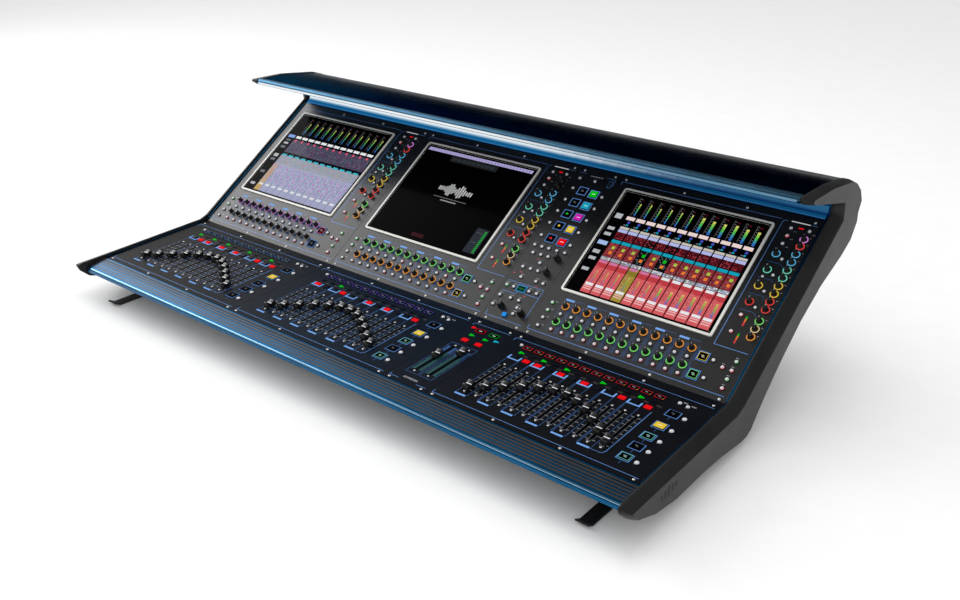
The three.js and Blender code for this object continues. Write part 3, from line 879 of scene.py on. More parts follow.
# ---------- master column of the raised panels ----------
# Rows of two display keys: place up the panel, mark on the left one, and fill of the right one.
MACRO_ROWS = (
    (360, BLACK, GREEN), (326.7, BLACK, CYAN), (294, GREEN, MAGENTA), (260, SUN, SUN), (225, RED, RED),
)
MACRO_X = (211.0, 240.5)
MASTER_KEYS = (
    (186.5, 391.4), (224.8, 391.5), (186, 200), (204, 200), (221.7, 200), (241.8, 200), (261.3, 200),
    (193.3, 180.5), (213.2, 180.5), (231.6, 180.5), (223, 161), (192, 141.5), (211.5, 141.5), (230, 141.5),
    (202.7, 116.8), (240.4, 116.8), (258.3, 116.8), (183.8, 90.5), (201.4, 90.5), (239.6, 90.5),
    (258.4, 90.5), (183.2, 63.5), (210.2, 63.5), (231.3, 63.5), (181.3, 38.8), (237.4, 46.6), (237.3, 31.1),
)
GREEN_MASTER_KEYS = {(183.8, 90.5)}
MASTER_KNOBS = ((252.5, 182.8), (248.8, 144.0), (200.9, 40.4))
RED_MARKS = ((213.5, 168), (196, 128), (181, 122), (247, 105), (236, 76))
MASTER_LINES = (
    ((178, 22), (178, FRAME_LOW), (268, FRAME_LOW)),
    ((180, 103), (214, 103), (268, 103), (268, 30)),
    ((180, 76), (212, 76), (216, 82), (268, 82)),
    ((178, 408), (196, 408)),
    ((246, 408), (268, 408), (268, 388)),
)
KNOB_PROFILE = ((7.2, 0.1), (7.2, 1.5), (6.5, 2.2), (6.2, 11.5), (5.7, 12.6), (4.4, 12.9))
LEVEL_PROFILE = (
    (3, -12), (3, 1.2), (7.5, 1.2), (7.4, 2.4), (6.7, 3.2), (6.4, 12.4), (5.8, 13.6), (4.4, 14.0),
    (3.6, 13.7),
)
TALKBACK_BLUE = srgb(40, 150, 240)


def master_controls():
    """Display keys, keys and knobs of the master column, and its two moving controls."""
    keys = Build("master_keys", "key_plastic", SCREENS)
    prints = Build("panel_print_master", "panel_black", SCREENS)
    shows = Build("master_display_keys", "display_glass", SCREENS)
    knobs = Build("master_knobs", "fader_cap", SCREENS)
    for x, up in MASTER_KEYS:
        key(keys, x, up, GREEN if (x, up) in GREEN_MASTER_KEYS else None, 3.4)
        caption(prints, x, up + 7, 8, PALE if up < 120 else GREY)
    for up, mark, fill in MACRO_ROWS:
        display_key(shows, MACRO_X[0], up, BLACK)
        if mark != BLACK:
            shows.turned(MACRO_X[0], up, [(2.6, 2.27), (2.3, 2.36)], LIT, mark, 12)
        display_key(shows, MACRO_X[1], up - 2, BLACK, fill)
        key(keys, 186, up + 2)
        key(keys, 262.5, up - 4)
    for x, up in MASTER_KNOBS:
        knobs.turned(x, up, KNOB_PROFILE, CAP)
        knobs.block(x, up + 4, 0.9, 3.2, 12.5, 13.05, PRINT, PALE)
    display_key(shows, 220.4, 90.6, CYAN, None, 20, 14)
    shows.quad(212.5, 88.5, 228.0, 92.5, 2.3, LIT, srgb(20, 90, 40))
    for x, up in RED_MARKS:
        prints.quad(x - 3.5, up, x + 3.5, up + 1.4, 0.06, PRINT, DIM_RED)
    for points in MASTER_LINES:
        prints.line(points, 0.9, PRINT_BLUE)
    prints.frame(257, 384, 264, 402, 0.8, PRINT_BLUE)
    for i in range(5):
        prints.quad(207 + i * 6.5, 403, 211 + i * 6.5, 405.2, 0.08, PRINT, PALE)
    make_all(keys, prints, shows, knobs)
    moving_controls()


def moving_controls():
    """The monitor level knob and the talkback key, each on its own CAD body."""
    centre = centre_on(SCREENS, "monitor_level_knob")
    level = Build("monitor_level_knob_cap", "fader_cap", SCREENS, "monitor_level_knob")
    level.turned(centre.x, centre.y, LEVEL_PROFILE, CAP, sides=32)
    level.block(centre.x, centre.y + 4.1, 0.9, 3.4, 13.3, 14.1, PRINT, WHITE)
    level.make("monitor_level_knob")
    centre = centre_on(SCREENS, "talkback_button")
    talk = Build("talkback_key", "key_plastic", SCREENS, "talkback_button")
    talk.block(centre.x, centre.y, 4, 4, -9, -1.2, CAP)
    talk.block(centre.x, centre.y, 9.4, 9.4, -2.2, 4.0, KEYCAP, TALKBACK_BLUE, 0.8)
    talk.block(centre.x, centre.y, 7.4, 7.4, 4.0, 4.5, LIT, TALKBACK_BLUE, 0.3)
    talk.make("talkback_button")


# ---------- deck ----------
DISPLAY_TINTS = {"left": srgb(104, 136, 190), "centre": srgb(104, 84, 190), "right": srgb(206, 44, 56)}
SOLO_LIT = {"left": {0, 2, 4, 7, 10}, "centre": {2}, "right": {0, 2, 4, 7, 10}}
MUTE_LIT = {"left": {1, 2, 4, 6, 9, 11}, "centre": {0, 3, 6, 8, 11}, "right": {1, 2, 4, 6, 9, 11}}
BANK_KEYS = ((82.4, BLACK), (126.3, SUN), (165.5, TEAL), (201.0, BLACK), (236.8, TEAL))


def wedge_key(build, x, y, lit, colour):
    """A low triangular key that points to the right."""
    points = [(-6, -4), (6, 0), (-6, 4)]
    scaled = [(x + px * 0.86, y + py * 0.86, 1.6) for px, py in points]
    base = [(x + px, y + py, 0) for px, py in points]
    sides = [(i, (i + 1) % 3, 3 + (i + 1) % 3, 3 + i) for i in range(3)]
    build.add(base + scaled, sides + [(3, 4, 5)], LIT if lit else COLLAR, colour)


SCALE_STEPS = 28
SCALE_LONG = 4  # every fourth mark is long and has a figure
DISPLAY_ROW = -47.5
SOLO_ROW = -67.3
MUTE_ROW = -88.4
STRIP_BACK = -98.0  # the printed strip of a fader runs from here
STRIP_FRONT = -250.0  # to here
DECK_BACK = -24.0  # printed border of the deck
DECK_FRONT = -273.0
BANK_KEY_X = 331.3  # the column of display keys, from the first fader


def deck_display(shows, x, width, half, tall, line, tint, marks):
    """A small display with a tinted frame, half wide and tall, and with marks from its centre line."""
    shows.block(x, DISPLAY_ROW, width, 13.5, 0, 1.3, GLASS, chamfer=0.4)
    shows.frame(x - half, DISPLAY_ROW - tall, x + half, DISPLAY_ROW + tall, line, tint, 1.34, LIT)
    for x0, y0, x1, y1, colour in marks:
        shows.quad(x + x0, y0, x + x1, y1, 1.34, LIT, colour)


CHANNEL_MARKS = (
    (-4.5, -47.0, 1.5, -46.0, PALE), (-1.0, -49.4, 3.0, -48.6, GREY), (6.4, -51.4, 8.4, -49.8, GREEN),
)


def strip_scale(build, x):
    """Fine marks down both sides of a fader slot, with a column of short figures at each side."""
    low = -SLOT_CENTRE - FADER_TRAVEL / 2
    for i in range(SCALE_STEPS + 1):
        y = low + i * FADER_TRAVEL / SCALE_STEPS
        long = i % SCALE_LONG == 0
        for side in (-1, 1):
            start = x + side * 3.4
            end = start + side * (3.0 if long else 1.6)
            build.line([(start, y), (end, y)], 0.7, PALE if long else GREY)
            if long:
                figure = x + side * 8.2
                build.quad(figure - 1.1, y - 0.8, figure + 1.1, y + 0.9, 0.06, PRINT, SCALE_GREY)
    for i in range(4):
        tick = x - 4.4 + i * 2.4
        build.line([(tick, low - 5.6), (tick, low - 3.0)], 0.8, SCALE_GREY)


def deck_strip(bank, i, x, pitch, prints, keys, shows, screws):
    """One fader's strip: display, solo and mute keys, scale, screws and printed lines."""
    deck_display(shows, x, 20.5, 9.0, 5.5, 0.9, DISPLAY_TINTS[bank], CHANNEL_MARKS)
    soloed, muted = i in SOLO_LIT[bank], i in MUTE_LIT[bank]
    wedge_key(keys, x + 1, SOLO_ROW, soloed, GREEN if soloed else GREY)
    caption(prints, x + pitch / 2 + 1.5, -74, 10, CAPTION_BROWN, 2)
    if i % 2 == 0:
        prints.line([(x - 12, -84), (x - 12, -95), (x + 12, -95), (x + 12, -84)], 3.4, BAR_BLUE, 0.1, LIT)
        prints.quad(x - 12, STRIP_FRONT - 2, x + 12, STRIP_FRONT + 2.6, 0.1, LIT, BAR_BLUE)
    keys.block(x, MUTE_ROW, 13, 9.6, 0, 2.2, LIT if muted else COLLAR, RED, 0.7)
    strip_scale(prints, x)
    for end in (-SLOT_SCREWS, SLOT_SCREWS):
        screw(screws, x, -SLOT_CENTRE + end, 2.1)
    edge = pitch / 2 - 1.2
    prints.line([(x - edge, STRIP_BACK), (x - edge, STRIP_FRONT + 3)], 0.7, DIM_BLUE)
    if i % 2:
        prints.line([(x + edge, STRIP_BACK), (x + edge, STRIP_FRONT + 3)], 0.6, DIM_BLUE)


def deck_bank(bank):
    """A bank of 12 fader strips, with its display keys at the right and its printed borders."""
    prints = Build("deck_print_" + bank, "panel_black", DECK)
    keys = Build("channel_keys_" + bank, "key_plastic", DECK)
    shows = Build("channel_displays_" + bank, "display_glass", DECK)
    screws = Build("fader_screws_" + bank, "screw_steel", DECK)
    first = centre_x(f"fader_{bank}_1")
    pitch = centre_x(f"fader_{bank}_2") - first
    for i in range(STRIPS):
        deck_strip(bank, i, first + i * pitch, pitch, prints, keys, shows, screws)
    last = first + (STRIPS - 1) * pitch
    corner = [(last + 13, STRIP_BACK), (last + 13, -242), (last + 8, STRIP_FRONT), (last - 13, STRIP_FRONT)]
    prints.line(corner, 0.8, PRINT_BLUE)
    prints.line([(first - 12, -96), (first - 12, STRIP_FRONT)], 0.7, DIM_BLUE)
    end_keys = Build("bank_display_keys_" + bank, "display_glass", DECK)
    x = first + BANK_KEY_X
    for out, border in BANK_KEYS:
        fill = border if border == SUN else None
        display_key(end_keys, x, -out, BLACK if bank == "left" else border, fill, 21, 18)
        key(keys, first + 355, -out - 3.5, None, 4.2)
        prints.line([(x, -out - 10.5), (x, -out - 20)], 0.7, DIM_BLUE)
    for out, back in ((324, 45.3), (341, 48.4)):
        key(keys, first + out, -back, None, 3.6)
        caption(prints, first + out + 8, -back + 8, 9, PALE, 2)
    key(keys, first - 17, -44, None, 3.4)
    low, high = span_x("deck_panel_" + bank)
    left, right = low + BORDER, high - BORDER
    prints.line([(left, -34), (left, DECK_BACK), (right, DECK_BACK)], 1.0, PRINT_BLUE)
    prints.line([(left, -264), (left, DECK_FRONT), (right, DECK_FRONT)], 1.0, PRINT_BLUE)
    make_all(prints, keys, shows, screws, end_keys)


MASTER_MARKS = ((-4, -48.4, 3, -46.6, WHITE),)
MASTER_SCALE = 26


def master_deck():
    """The two master faders with wide scales."""
    prints = Build("deck_print_master", "panel_black", DECK)
    keys = Build("master_deck_keys", "key_plastic", DECK)
    shows = Build("master_deck_displays", "display_glass", DECK)
    places = [centre_x("fader_master_1"), centre_x("fader_master_2")]
    for x in places:
        for side in (-1, 1):
            for i in range(MASTER_SCALE):
                y = -SLOT_CENTRE - 52 + i * 4
                start = x + side * 4.5
                end = start + side * (6.5 if i % 5 else 8.0)
                colour = DEEP_TEAL if i < 20 else DIM_BLUE
                prints.quad(min(start, end), y, max(start, end), y + 2.2, 0.07, PRINT, colour)
        screw(prints, x, -SLOT_CENTRE - SLOT_SCREWS, 2.1)
        screw(prints, x, -SLOT_CENTRE + SLOT_SCREWS, 2.1)
        prints.frame(x - 14.5, -246, x + 14.5, -112, 0.7, DIM_BLUE)
    for x, tint in zip(places, (RED, GREEN)):
        deck_display(shows, x + 4, 21.5, 9.9, 5.9, 0.8, tint, MASTER_MARKS)
    wedge_key(keys, places[0] - 16, -42, True, RED)
    wedge_key(keys, places[1] + 21, -62, True, CYAN)
    for x in places:
        wedge_key(keys, x, -69, True, GREEN)
        keys.block(x, -92, 13, 9.6, 0, 2.2, LIT, RED, 0.7)
    low, high = span_x("deck_panel_master")
    left, right = low + BORDER, high - BORDER
    prints.line([(left, -32), (left, DECK_BACK), (right, DECK_BACK)], 1.0, PRINT_BLUE)
    prints.line([(left, -266), (left, DECK_FRONT), (low + 30, DECK_FRONT)], 1.0, PRINT_BLUE)
    prints.line([(high - 30, DECK_FRONT), (right, DECK_FRONT)], 1.0, PRINT_BLUE)
    caption(prints, (low + high) / 2, -262, 34, PALE, 3)
    make_all(prints, keys, shows)


def panel_screws():
    """Screws along the front and back edges of the deck panels and of the raised panels."""
    deck = Build("deck_screws", "screw_steel", DECK)
    raised = Build("raised_panel_screws", "screw_steel", SCREENS)
    for module in (*BANKS, "master"):
        low, high = span_x("deck_panel_" + module)
        count = 2 if module == "master" else 4
        for i in range(count):
            x = low + 13 + (high - low - 26) * i / (count - 1)
            for y in (-16.0, -279.0):
                screw(deck, x, y)
            for y in (5.2, 415.5):
                screw(raised, x, y)
    make_all(deck, raised)


# ---------- faders ----------
CAP_HALF = 11.5
CAP_WIDTH = 13.0
CAP_LIFT = 2.2
CAP_TOP = 12.7
SCOOP_HALF = 8.6
SCOOP_DEPTH = 3.6
SCOOP_STEPS = 8


def scoop(y):
    """Height of the cap's hollow top at a distance from its middle."""
    return CAP_TOP - SCOOP_DEPTH * (1 - (y / SCOOP_HALF) ** 2)


def fader_mesh(name):
    """A finger cap with a scooped top and a white line, its blade and its carriage."""
    build = Build(name + "_cap", "fader_cap", Matrix.Identity(4), name)
    arc = [((i / SCOOP_STEPS * 2 - 1) * SCOOP_HALF) for i in range(SCOOP_STEPS + 1)]
    side = [(CAP_HALF, CAP_LIFT), (CAP_HALF, 4.0), (10.6, 11.0), (9.6, 12.4)]
    outline = side + [(y, scoop(y)) for y in reversed(arc)] + [(-y, z) for y, z in reversed(side)]
    count = len(outline)
    half = CAP_WIDTH / 2
    sections = ((-half, 0.93, 0.94), (0.9 - half, 1, 1), (half - 0.9, 1, 1), (half, 0.93, 0.94))
    points = []
    for x, deep, tall in sections:
        points += [(x, y * deep, CAP_LIFT + (z - CAP_LIFT) * tall) for y, z in outline]
    build.add(points, ring_faces(len(sections), count), CAP, WHITE, True)
    build.add(points[:count], [tuple(reversed(range(count)))], CAP)
    build.add(points[-count:], [tuple(range(count))], CAP)
    build.block(0, 0, CAP_WIDTH - 1.0, 2.0, 8.4, 9.5, KEYCAP, WHITE, 0.3)
    for i in range(3):
        for sign in (-1, 1):
            y = sign * (3.4 + i * 2.0)
            build.block(0, y, CAP_WIDTH - 2.4, 0.55, scoop(y) - 0.5, scoop(y) + 0.22, CAP, BLACK, 0.1)
    build.block(0, 0, 1.6, 8, -9, 3.2, SCREW)
    build.block(0, 0, 12, 16, -13, -6, CAP, BLACK, 0.6)
    return build


def place_faders():
    """Puts a finished fader, all of one shared mesh, in the place of every CAD fader."""
    names = [f"fader_{bank}_{i + 1}" for bank in BANKS for i in range(STRIPS)]
    names += ["fader_master_1", "fader_master_2"]
    first = fader_mesh(names[0]).make(names[0])
    for name in names:
        centre = centre_on(DECK, name)
        piece = first
        if name != names[0]:
            piece = bpy.data.objects.new(name + "_cap", first.data)
            bpy.context.scene.collection.objects.link(piece)
        piece.parent = None
        piece.matrix_world = DECK @ Matrix.Translation(Vector((centre.x, centre.y, 0)) * MM)
        finish_piece(piece, name, name)


# ---------- screen pictures ----------
PICTURE_GAP = 1.2
PICTURE_RISE = 0.5
FIRST_CHANNEL = 0.1  # all places on a picture are shares of its size
CHANNEL_PITCH = 0.075
METER_STEPS = 14
METER_BANDS = (
    srgb(50, 110, 200), srgb(60, 150, 160), srgb(80, 190, 80), srgb(150, 205, 80), srgb(220, 215, 110),
)
REDS = (srgb(150, 34, 44), srgb(110, 20, 30), srgb(190, 70, 80), srgb(120, 110, 110), srgb(90, 14, 22))
PINKS = (srgb(240, 150, 150), srgb(200, 90, 90))
DUSK = (srgb(90, 84, 110), srgb(130, 60, 100), srgb(60, 100, 110), srgb(110, 110, 122), srgb(60, 54, 80))
LILACS = (srgb(150, 152, 190), srgb(196, 196, 216), srgb(180, 186, 214), srgb(140, 150, 170))
HAZE = (srgb(206, 150, 130), srgb(160, 180, 150), srgb(190, 190, 210), srgb(150, 170, 200))


class Picture:
    """Flat lit shapes on a screen's glass.

    Places are shares of its width, counted from `start`, and of its height, counted from the top.
    """

    def __init__(self, bank):
        self.build = Build("screen_picture_" + bank, "display_glass", SCREENS)
        margin = SCREEN_BEZEL + PICTURE_GAP
        self.left = centre_x("touchscreen_" + bank) - SCREEN_WIDTH / 2 + margin
        self.top = SCREEN_LOW + SCREEN_HEIGHT - margin
        self.width, self.height = SCREEN_WIDTH - 2 * margin, SCREEN_HEIGHT - 2 * margin
        self.start = 0.0
        right, low = self.left + self.width, self.top - self.height
        middle = ((self.left + right) / 2, (self.top + low) / 2)
        size = (self.width + 2.2, self.height + 2.2)
        self.build.block(*middle, *size, SCREEN_FACE, SCREEN_FACE + PICTURE_RISE, GLASS)
        reach = PICTURE_GAP + SCREEN_GASKET / 2
        corners = (self.left - reach, low - reach, right + reach, self.top + reach)
        self.build.frame(*corners, SCREEN_GASKET, BLACK, BEZEL_TOP + 0.08, GLASS)

    def rect(self, x0, t0, x1, t1, colour, layer=1):
        height = SCREEN_FACE + PICTURE_RISE + 0.03 + 0.03 * layer
        left, right = (self.left + (self.start + x) * self.width for x in (x0, x1))
        low, high = (self.top - t * self.height for t in (t1, t0))
        self.build.quad(left, low, right, high, height, PICTURE, colour)

    def rects(self, *rows, layer=1):
        for row in rows:
            self.rect(*row, layer)

    def dashes(self, x0, t0, x1, t1, colour, count, fill=0.7):
        step = (x1 - x0) / count
        for i in range(count):
            self.rect(x0 + i * step, t0, x0 + (i + fill) * step, t1, colour, 2)


def channel_meter(picture, x, t0, t1, width, rng):
    """A level meter that goes from blue through green to yellow, with a dark red top."""
    level = 0.72 + 0.1 * rng.random()
    low = t1
    for i in range(METER_STEPS):
        high = t1 - (t1 - t0) * level * (i + 1) / METER_STEPS
        picture.rect(x, high, x + width, low, METER_BANDS[min(4, i * 5 // METER_STEPS)])
        low = high
    picture.rect(x, t0, x + width, t1 - (t1 - t0) * 0.9, srgb(70, 12, 18))
    for i in range(7):
        t = t0 + (t1 - t0) * i / 7
        picture.rect(x - 0.014, t, x - 0.006, t + 0.006, GREY)
    picture.rect(x - 0.022, t0 - 0.01, x - 0.019, t1, srgb(96, 96, 100))


def side_labels(picture, rng, marks):
    """Labels down the left edge, given as places from the top and heights."""
    for t, size in marks:
        picture.rect(0.02, t, 0.07, t + size, PALE if rng.random() > 0.3 else GREY)


def speckle(picture, x0, t0, x1, t1, colours, columns, rows, rng, size=0.7):
    """Rows of tiny labels in mixed colours, as on a dense screen page."""
    wide, tall = (x1 - x0) / columns, (t1 - t0) / rows
    for row in range(rows):
        for column in range(columns):
            if rng.random() < 0.25:
                continue
            x, t = x0 + wide * column, t0 + tall * row
            picture.rect(x, t, x + wide * size, t + tall * size, rng.choice(colours), 2)


def right_channel(picture, i, rng):
    """One channel of the right page: meter, name, sends, dynamics and fader blocks from the top down."""
    black, gold = i in (3, 5), i == 3
    wide = 0.008 if i < 6 else 0.018
    channel_meter(picture, 0.04, 0.035, 0.215, wide, rng)
    picture.rects(
        (0.004, 0.228, 0.066, 0.262, srgb(245, 222, 218)),
        (0.03, 0.275, 0.048, 0.297, srgb(70, 80, 190)),
        (0.012, 0.312, 0.028, 0.322, GREY),
        (0.03, 0.306, 0.044, 0.322, CYAN),
        (0.002, 0.335, 0.068, 0.358, srgb(205, 200, 190)),
        (0.002, 0.362, 0.068, 0.392, srgb(186, 192, 240)),
        (0.001, 0.395, 0.069, 0.468, srgb(12, 8, 10) if black else srgb(66, 14, 22)),
    )
    speckle(picture, 0.003, 0.398, 0.068, 0.465, REDS[:3], 5, 4, rng, 0.6)
    picture.rect(0.002, 0.472, 0.068, 0.502, CYAN)
    picture.rect(0.001, 0.506, 0.069, 0.64, srgb(10, 10, 10) if black else srgb(140, 52, 58))
    speckle(picture, 0.002, 0.508, 0.069, 0.638, (BLACK, GREY) if black else REDS, 6, 8, rng, 0.62)
    picture.rect(0.03, 0.535, 0.052, 0.563, GREEN if black else srgb(176, 200, 70), 3)
    picture.rect(0.03, 0.585, 0.052, 0.613, AMBER, 3)
    picture.rect(0.001, 0.644, 0.069, 0.676, srgb(165, 160, 164))
    speckle(picture, 0.001, 0.646, 0.069, 0.674, (WHITE, srgb(170, 190, 235), GREY), 5, 2, rng)
    picture.rect(0.008, 0.68, 0.06, 0.705, srgb(214, 120, 170) if i < 6 else WHITE, 2)
    picture.rect(0.001, 0.68, 0.069, 1.0, srgb(172, 148, 60) if gold else srgb(222, 96, 100))
    picture.rect(0.001, 0.706, 0.069, 0.75, srgb(140, 122, 40) if gold else srgb(196, 62, 70), 2)
    channel_meter(picture, 0.034, 0.735, 0.9, wide, rng)
    speckle(picture, 0.006, 0.74, 0.028, 0.9, PINKS, 2, 9, rng, 0.5)
    picture.rect(0.006, 0.905, 0.062, 0.93, WHITE, 2)
    for t in (0.938, 0.958):
        picture.rect(0.006, t, 0.062, t + 0.01, srgb(244, 190, 190), 2)


def right_picture():
    """A busy mixing page in reds, with one gold channel."""
    picture = Picture("right")
    rng = random.Random(5)
    marks = ((0.22, 0.05), (0.36, 0.03), (0.42, 0.03), (0.6, 0.035), (0.67, 0.03), (0.78, 0.03))
    side_labels(picture, rng, marks)
    picture.rect(0.015, 0.505, 0.085, 0.545, srgb(170, 195, 240))
    for i in range(STRIPS):
        picture.start = FIRST_CHANNEL + i * CHANNEL_PITCH
        right_channel(picture, i, rng)
    picture.build.make()


def left_channel(picture, rng):
    """One channel of the left page, from its meter down to its fader block."""
    channel_meter(picture, 0.045, 0.04, 0.24, 0.008, rng)
    picture.rect(0.004, 0.27, 0.064, 0.3, WHITE)
    picture.rect(0.02, 0.318, 0.038, 0.345, srgb(238, 90, 120), 2)
    speckle(picture, 0.002, 0.35, 0.07, 0.49, DUSK, 6, 8, rng)
    picture.rect(0.014, 0.492, 0.056, 0.512, BLACK, 2)
    picture.rect(0.006, 0.514, 0.058, 0.534, srgb(60, 190, 208), 2)
    speckle(picture, 0.002, 0.54, 0.07, 0.66, HAZE, 6, 7, rng, 0.62)
    speckle(picture, 0.002, 0.67, 0.07, 0.9, LILACS, 6, 12, rng, 0.62)
    for row in range(5):
        x, t = 0.018 + 0.02 * (row % 2), 0.675 + row * 0.044
        picture.rect(x, t, x + 0.014, t + 0.015, srgb(206, 100, 206), 3)
    picture.rect(0.012, 0.905, 0.058, 0.93, srgb(226, 226, 230), 3)
    picture.rect(0.066, 0.66, 0.07, 1.0, srgb(120, 124, 152), 3)


def left_picture():
    """A mixing page in pale lilac over dark purple."""
    picture = Picture("left")
    rng = random.Random(8)
    marks = (
        (0.33, 0.02), (0.37, 0.025), (0.42, 0.03), (0.53, 0.04), (0.59, 0.03), (0.76, 0.03), (0.92, 0.03),
    )
    side_labels(picture, rng, marks)
    picture.rect(0.012, 0.268, 0.085, 0.305, srgb(130, 165, 235))
    picture.rect(FIRST_CHANNEL, 0.32, 1.0, 0.49, srgb(74, 70, 92), 0)
    picture.rect(FIRST_CHANNEL, 0.53, 1.0, 1.0, srgb(164, 168, 200), 0)
    picture.rect(FIRST_CHANNEL, 0.53, 1.0, 0.64, srgb(150, 158, 176))
    picture.rect(FIRST_CHANNEL + 0.001, 0.66, FIRST_CHANNEL + 0.06, 1.0, srgb(196, 162, 92))
    for i in range(STRIPS):
        picture.start = FIRST_CHANNEL + i * CHANNEL_PITCH
        left_channel(picture, rng)
    picture.build.make()


WAVE_BARS = 15


def centre_picture():
    """A start page: a thin menu bar, a plain wave mark, and a small meter panel."""
    picture = Picture("centre")
    picture.rect(0.01, 0.015, 0.99, 0.05, srgb(176, 168, 216))
    picture.dashes(0.015, 0.022, 0.985, 0.044, srgb(128, 120, 170), 34, 0.3)
    picture.rect(0.26, 0.058, 0.7, 0.125, srgb(28, 30, 30))
    picture.dashes(0.28, 0.075, 0.68, 0.108, srgb(42, 48, 52), 9, 0.8)
    for i in range(WAVE_BARS):
        share = (i + 0.5) / WAVE_BARS
        tall = 0.016 + 0.062 * math.sin(math.pi * share) * (0.55 + 0.45 * math.cos(share * 19))
        x = 0.34 + i * 0.021
        picture.rect(x, 0.42 - tall, x + 0.011, 0.42 + tall, srgb(212, 212, 214))
    picture.rects(
        (0.34, 0.515, 0.645, 0.521, srgb(120, 120, 122)),
        (0.42, 0.54, 0.565, 0.552, srgb(150, 150, 152)),
        (0.39, 0.935, 0.5, 0.975, srgb(52, 4, 8)),
        (0.87, 0.715, 0.975, 0.975, srgb(40, 45, 54)),
    )
    for i in range(11):
        t = 0.735 + i * 0.0215
        picture.rect(0.945, t, 0.965, t + 0.014, srgb(20, 170, 50), 2)
    for t in (0.76, 0.86):
        picture.dashes(0.885, t, 0.935, t + 0.004, GREY, 3)
    picture.build.make()


# ---------- rear ----------
REAR_FACE = 392.0  # back of the housing's bay, behind the bend line
PLATE_HALF = 590.0
PLATE_LOW, PLATE_HIGH = -70.0, 112.0
PLATE_THICK = 2.0
LARGE_SOCKETS, LARGE_PITCH = 16, 32
SMALL_SOCKETS, SMALL_PITCH = 8, 24
VENT_SLOTS, VENT_PITCH = 12, 4.4


def rear_face():
    """A plane on the connector plate: X to the right as seen from behind, Y up and Z outward."""
    place = LEVEL @ Matrix.Translation(Vector((0, REAR_FACE + PLATE_THICK, 0)) * MM)
    return place @ Matrix.Rotation(math.pi, 4, "Z") @ Matrix.Rotation(math.pi / 2, 4, "X")


def large_socket(shells, x, y):
    """A round three-pin socket in a square flange with two screws."""
    shells.block(x, y, 26, 31, 0, 1.6, CAP, BLACK, 0.4)
    shells.turned(x, y, [(11.2, 1.6), (11.2, 2.6), (9.4, 3.0), (9.2, 1.9)], SCREW, sides=24)
    for dx, dy in ((-9.5, 12.5), (9.5, -12.5)):
        shells.turned(x + dx, y + dy, [(1.6, 1.6), (1.3, 2.2)], SCREW, sides=10)
    for angle in (90, 210, 330):
        turn = math.radians(angle)
        pin = (x + 4 * math.cos(turn), y + 4 * math.sin(turn))
        shells.turned(*pin, [(1.1, 1.9), (1.0, 2.4)], SCREW, sides=8)


def power_inlet(shells, x, y):
    """A mains inlet with three pins and a rocker switch beside it."""
    shells.block(x, y, 60, 48, 0, 2.0, CAP, BLACK, 0.6)
    shells.block(x - 10, y, 28, 22, 2.0, 2.2, GLASS)
    for pin in (-7, 0, 7):
        shells.block(x - 10 + pin, y + (-2 if pin else 3), 1.6, 5, 2.2, 3.4, SCREW)
    shells.block(x + 18, y, 14, 22, 2.0, 4.6, CAP, BLACK, 1.4)
    shells.quad(x + 16, y + 2, x + 20, y + 4, 4.64, PRINT, WHITE)


def rear_panel():
    """The connector plate on the back of the housing, with its sockets, inlets, vents and screws."""
    plate = Build("rear_connector_plate", "housing_metal", LEVEL)
    back = REAR_FACE + PLATE_THICK
    corners = [(REAR_FACE, PLATE_LOW), (back, PLATE_LOW), (back, PLATE_HIGH), (REAR_FACE, PLATE_HIGH)]
    plate.extruded(corners, -PLATE_HALF, PLATE_HALF, HOUSING)
    plate.make()
    shells = Build("rear_connectors", "housing_metal", rear_face())
    prints = Build("rear_print", "housing_metal", rear_face())
    for y in (74, 30):
        for i in range(LARGE_SOCKETS):
            x = -480 + i * LARGE_PITCH
            large_socket(shells, x, y)
            caption(prints, x, y + 19, 9, PALE)
    barrel = [(6.4, 0), (6.4, 2), (4.7, 2.2), (4.7, 7.8), (3.9, 8), (3.7, 6.5)]
    for i in range(SMALL_SOCKETS):
        x = 70 + i * SMALL_PITCH
        shells.turned(x, 76, barrel, SCREW, sides=20)
        shells.block(x, 34, 17, 16, 0, 1.6, SCREW, WHITE, 0.4)
        shells.block(x, 34, 12, 9.5, 1.6, 1.75, GLASS)
        caption(prints, x, 88, 8, PALE)
    for x in (330, 422):
        power_inlet(shells, x, 58)
    for x in (-500, 500):
        for i in range(VENT_SLOTS):
            prints.block(x, -52 + i * VENT_PITCH, 120, 2.0, 0, 0.7, RUBBER, BLACK, 0.2)
    for x in (-575, -300, 0, 300, 575):
        for y in (-64, 106):
            screw(prints, -x, y, 3.0)
    make_all(shells, prints)


# ---------- stage, light and camera ----------
def soft_box(name, place, aim, width, height, power):
    """A soft lamp that gives light but isn't seen in reflections."""
    lamp = bpy.data.lights.new(name, "AREA")
    lamp.shape = "RECTANGLE"
    lamp.size, lamp.size_y = width, height
    lamp.energy = power
    piece = bpy.data.objects.new(name, lamp)
    piece.location = place
    piece.rotation_euler = (Vector(aim) - Vector(place)).to_track_quat("-Z", "Y").to_euler()
    piece.visible_glossy = False
    bpy.context.scene.collection.objects.link(piece)


FLOOR_REACH = 14.0
ROOM_LIGHT = (0.92, 0.92, 0.92, 1)
GLOW_FROM = (-0.85, 0.05, 0.52)
GLOW_STRENGTH = 6.0
GLOW_STEPS = (  # cosine of the angle to the glow, and the level there
    (0.55, 0.003), (0.66, 0.01), (0.76, 0.045), (0.85, 0.05), (0.9, 0.08), (0.93, 0.24), (0.957, 0.4),
    (0.98, 0.8),
)


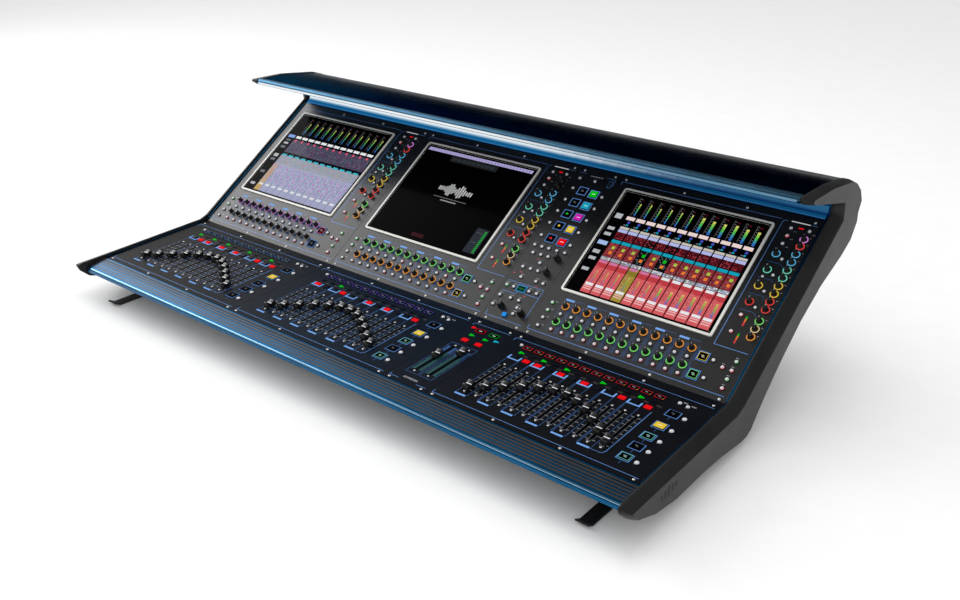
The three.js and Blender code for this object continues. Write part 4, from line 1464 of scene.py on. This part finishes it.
def pale_floor():
    mesh = bpy.data.meshes.new("floor")
    corners = [(x * FLOOR_REACH, y * FLOOR_REACH, 0) for x, y in ((-1, -1), (1, -1), (1, 1), (-1, 1))]
    mesh.from_pydata(corners, [], [(0, 1, 2, 3)])
    mesh.materials.append(surface("floor_pale", (0.86, 0.86, 0.86, 1), (0.8, 0.9), 0, 40, 0.02, 0.01))
    floor = bpy.data.objects.new("floor", mesh)
    bpy.context.scene.collection.objects.link(floor)


def studio():
    """A pale room. Reflections see it dark, with one broad soft glow at the left; all other light is even."""
    world = bpy.data.worlds.new("studio")
    bpy.context.scene.world = world
    world.use_nodes = True
    nodes, links = world.node_tree.nodes, world.node_tree.links
    background = nodes["Background"]
    background.inputs["Strength"].default_value = 1.0
    place = nodes.new("ShaderNodeTexCoord")
    rays = nodes.new("ShaderNodeLightPath")
    toward = nodes.new("ShaderNodeVectorMath")
    toward.operation = "DOT_PRODUCT"
    toward.inputs[1].default_value = Vector(GLOW_FROM).normalized()
    links.new(place.outputs["Generated"], toward.inputs[0])
    sky = nodes.new("ShaderNodeValToRGB")
    stops = sky.color_ramp.elements
    stops[0].position, stops[0].color = 0.0, (0.005, 0.007, 0.009, 1)
    stops[1].position, stops[1].color = 1.0, (1.0, 1.0, 1.0, 1)
    for position, level in GLOW_STEPS:
        stops.new(position).color = (level, level, level * 1.02, 1)
    links.new(toward.outputs["Value"], sky.inputs["Fac"])
    glow = nodes.new("ShaderNodeVectorMath")
    glow.operation = "SCALE"
    glow.inputs["Scale"].default_value = GLOW_STRENGTH
    links.new(sky.outputs["Color"], glow.inputs[0])
    mix = nodes.new("ShaderNodeMix")
    mix.data_type = "RGBA"
    mix.inputs["A"].default_value = ROOM_LIGHT
    links.new(rays.outputs["Is Glossy Ray"], mix.inputs["Factor"])
    links.new(glow.outputs["Vector"], mix.inputs["B"])
    links.new(mix.outputs["Result"], background.inputs["Color"])

    soft_box("left_soft_box", (-3.4, -0.6, 2.2), (0, 0, 0.2), 2.6, 2.2, 60)
    soft_box("overhead", (0.2, 0.2, 3.4), (0, 0, 0), 2.2, 1.6, 26)
    soft_box("front_fill", (1.5, -3.2, 2.0), (0, 0, 0.2), 2.0, 1.4, 12)


EYE = (1.3208, -1.422, 0.894)  # from the bend line, in metres
LOOK = (-0.569, 0.705, -0.424)
LENS, SENSOR = 37.63, 36.0


def camera():
    """The viewing angle: from the front right, and above."""
    view = bpy.data.cameras.new("camera")
    view.lens, view.sensor_width = LENS, SENSOR
    view.clip_start, view.clip_end = 0.02, 60
    eye = bpy.data.objects.new("camera", view)
    eye.location = BEND + Vector(EYE)
    eye.rotation_euler = Vector(LOOK).to_track_quat("-Z", "Y").to_euler()
    bpy.context.scene.collection.objects.link(eye)
    bpy.context.scene.camera = eye
    bpy.context.scene.view_settings.view_transform = "Standard"


dress_housing()
armrest_strips()
edge_trims()
paint_cove_light()
hood_lip()
for bank_name in BANKS:
    lower_controls(bank_name)
    deck_bank(bank_name)
master_controls()
master_deck()
panel_screws()
place_faders()
left_picture()
centre_picture()
right_picture()
rear_panel()
pale_floor()
studio()
camera()
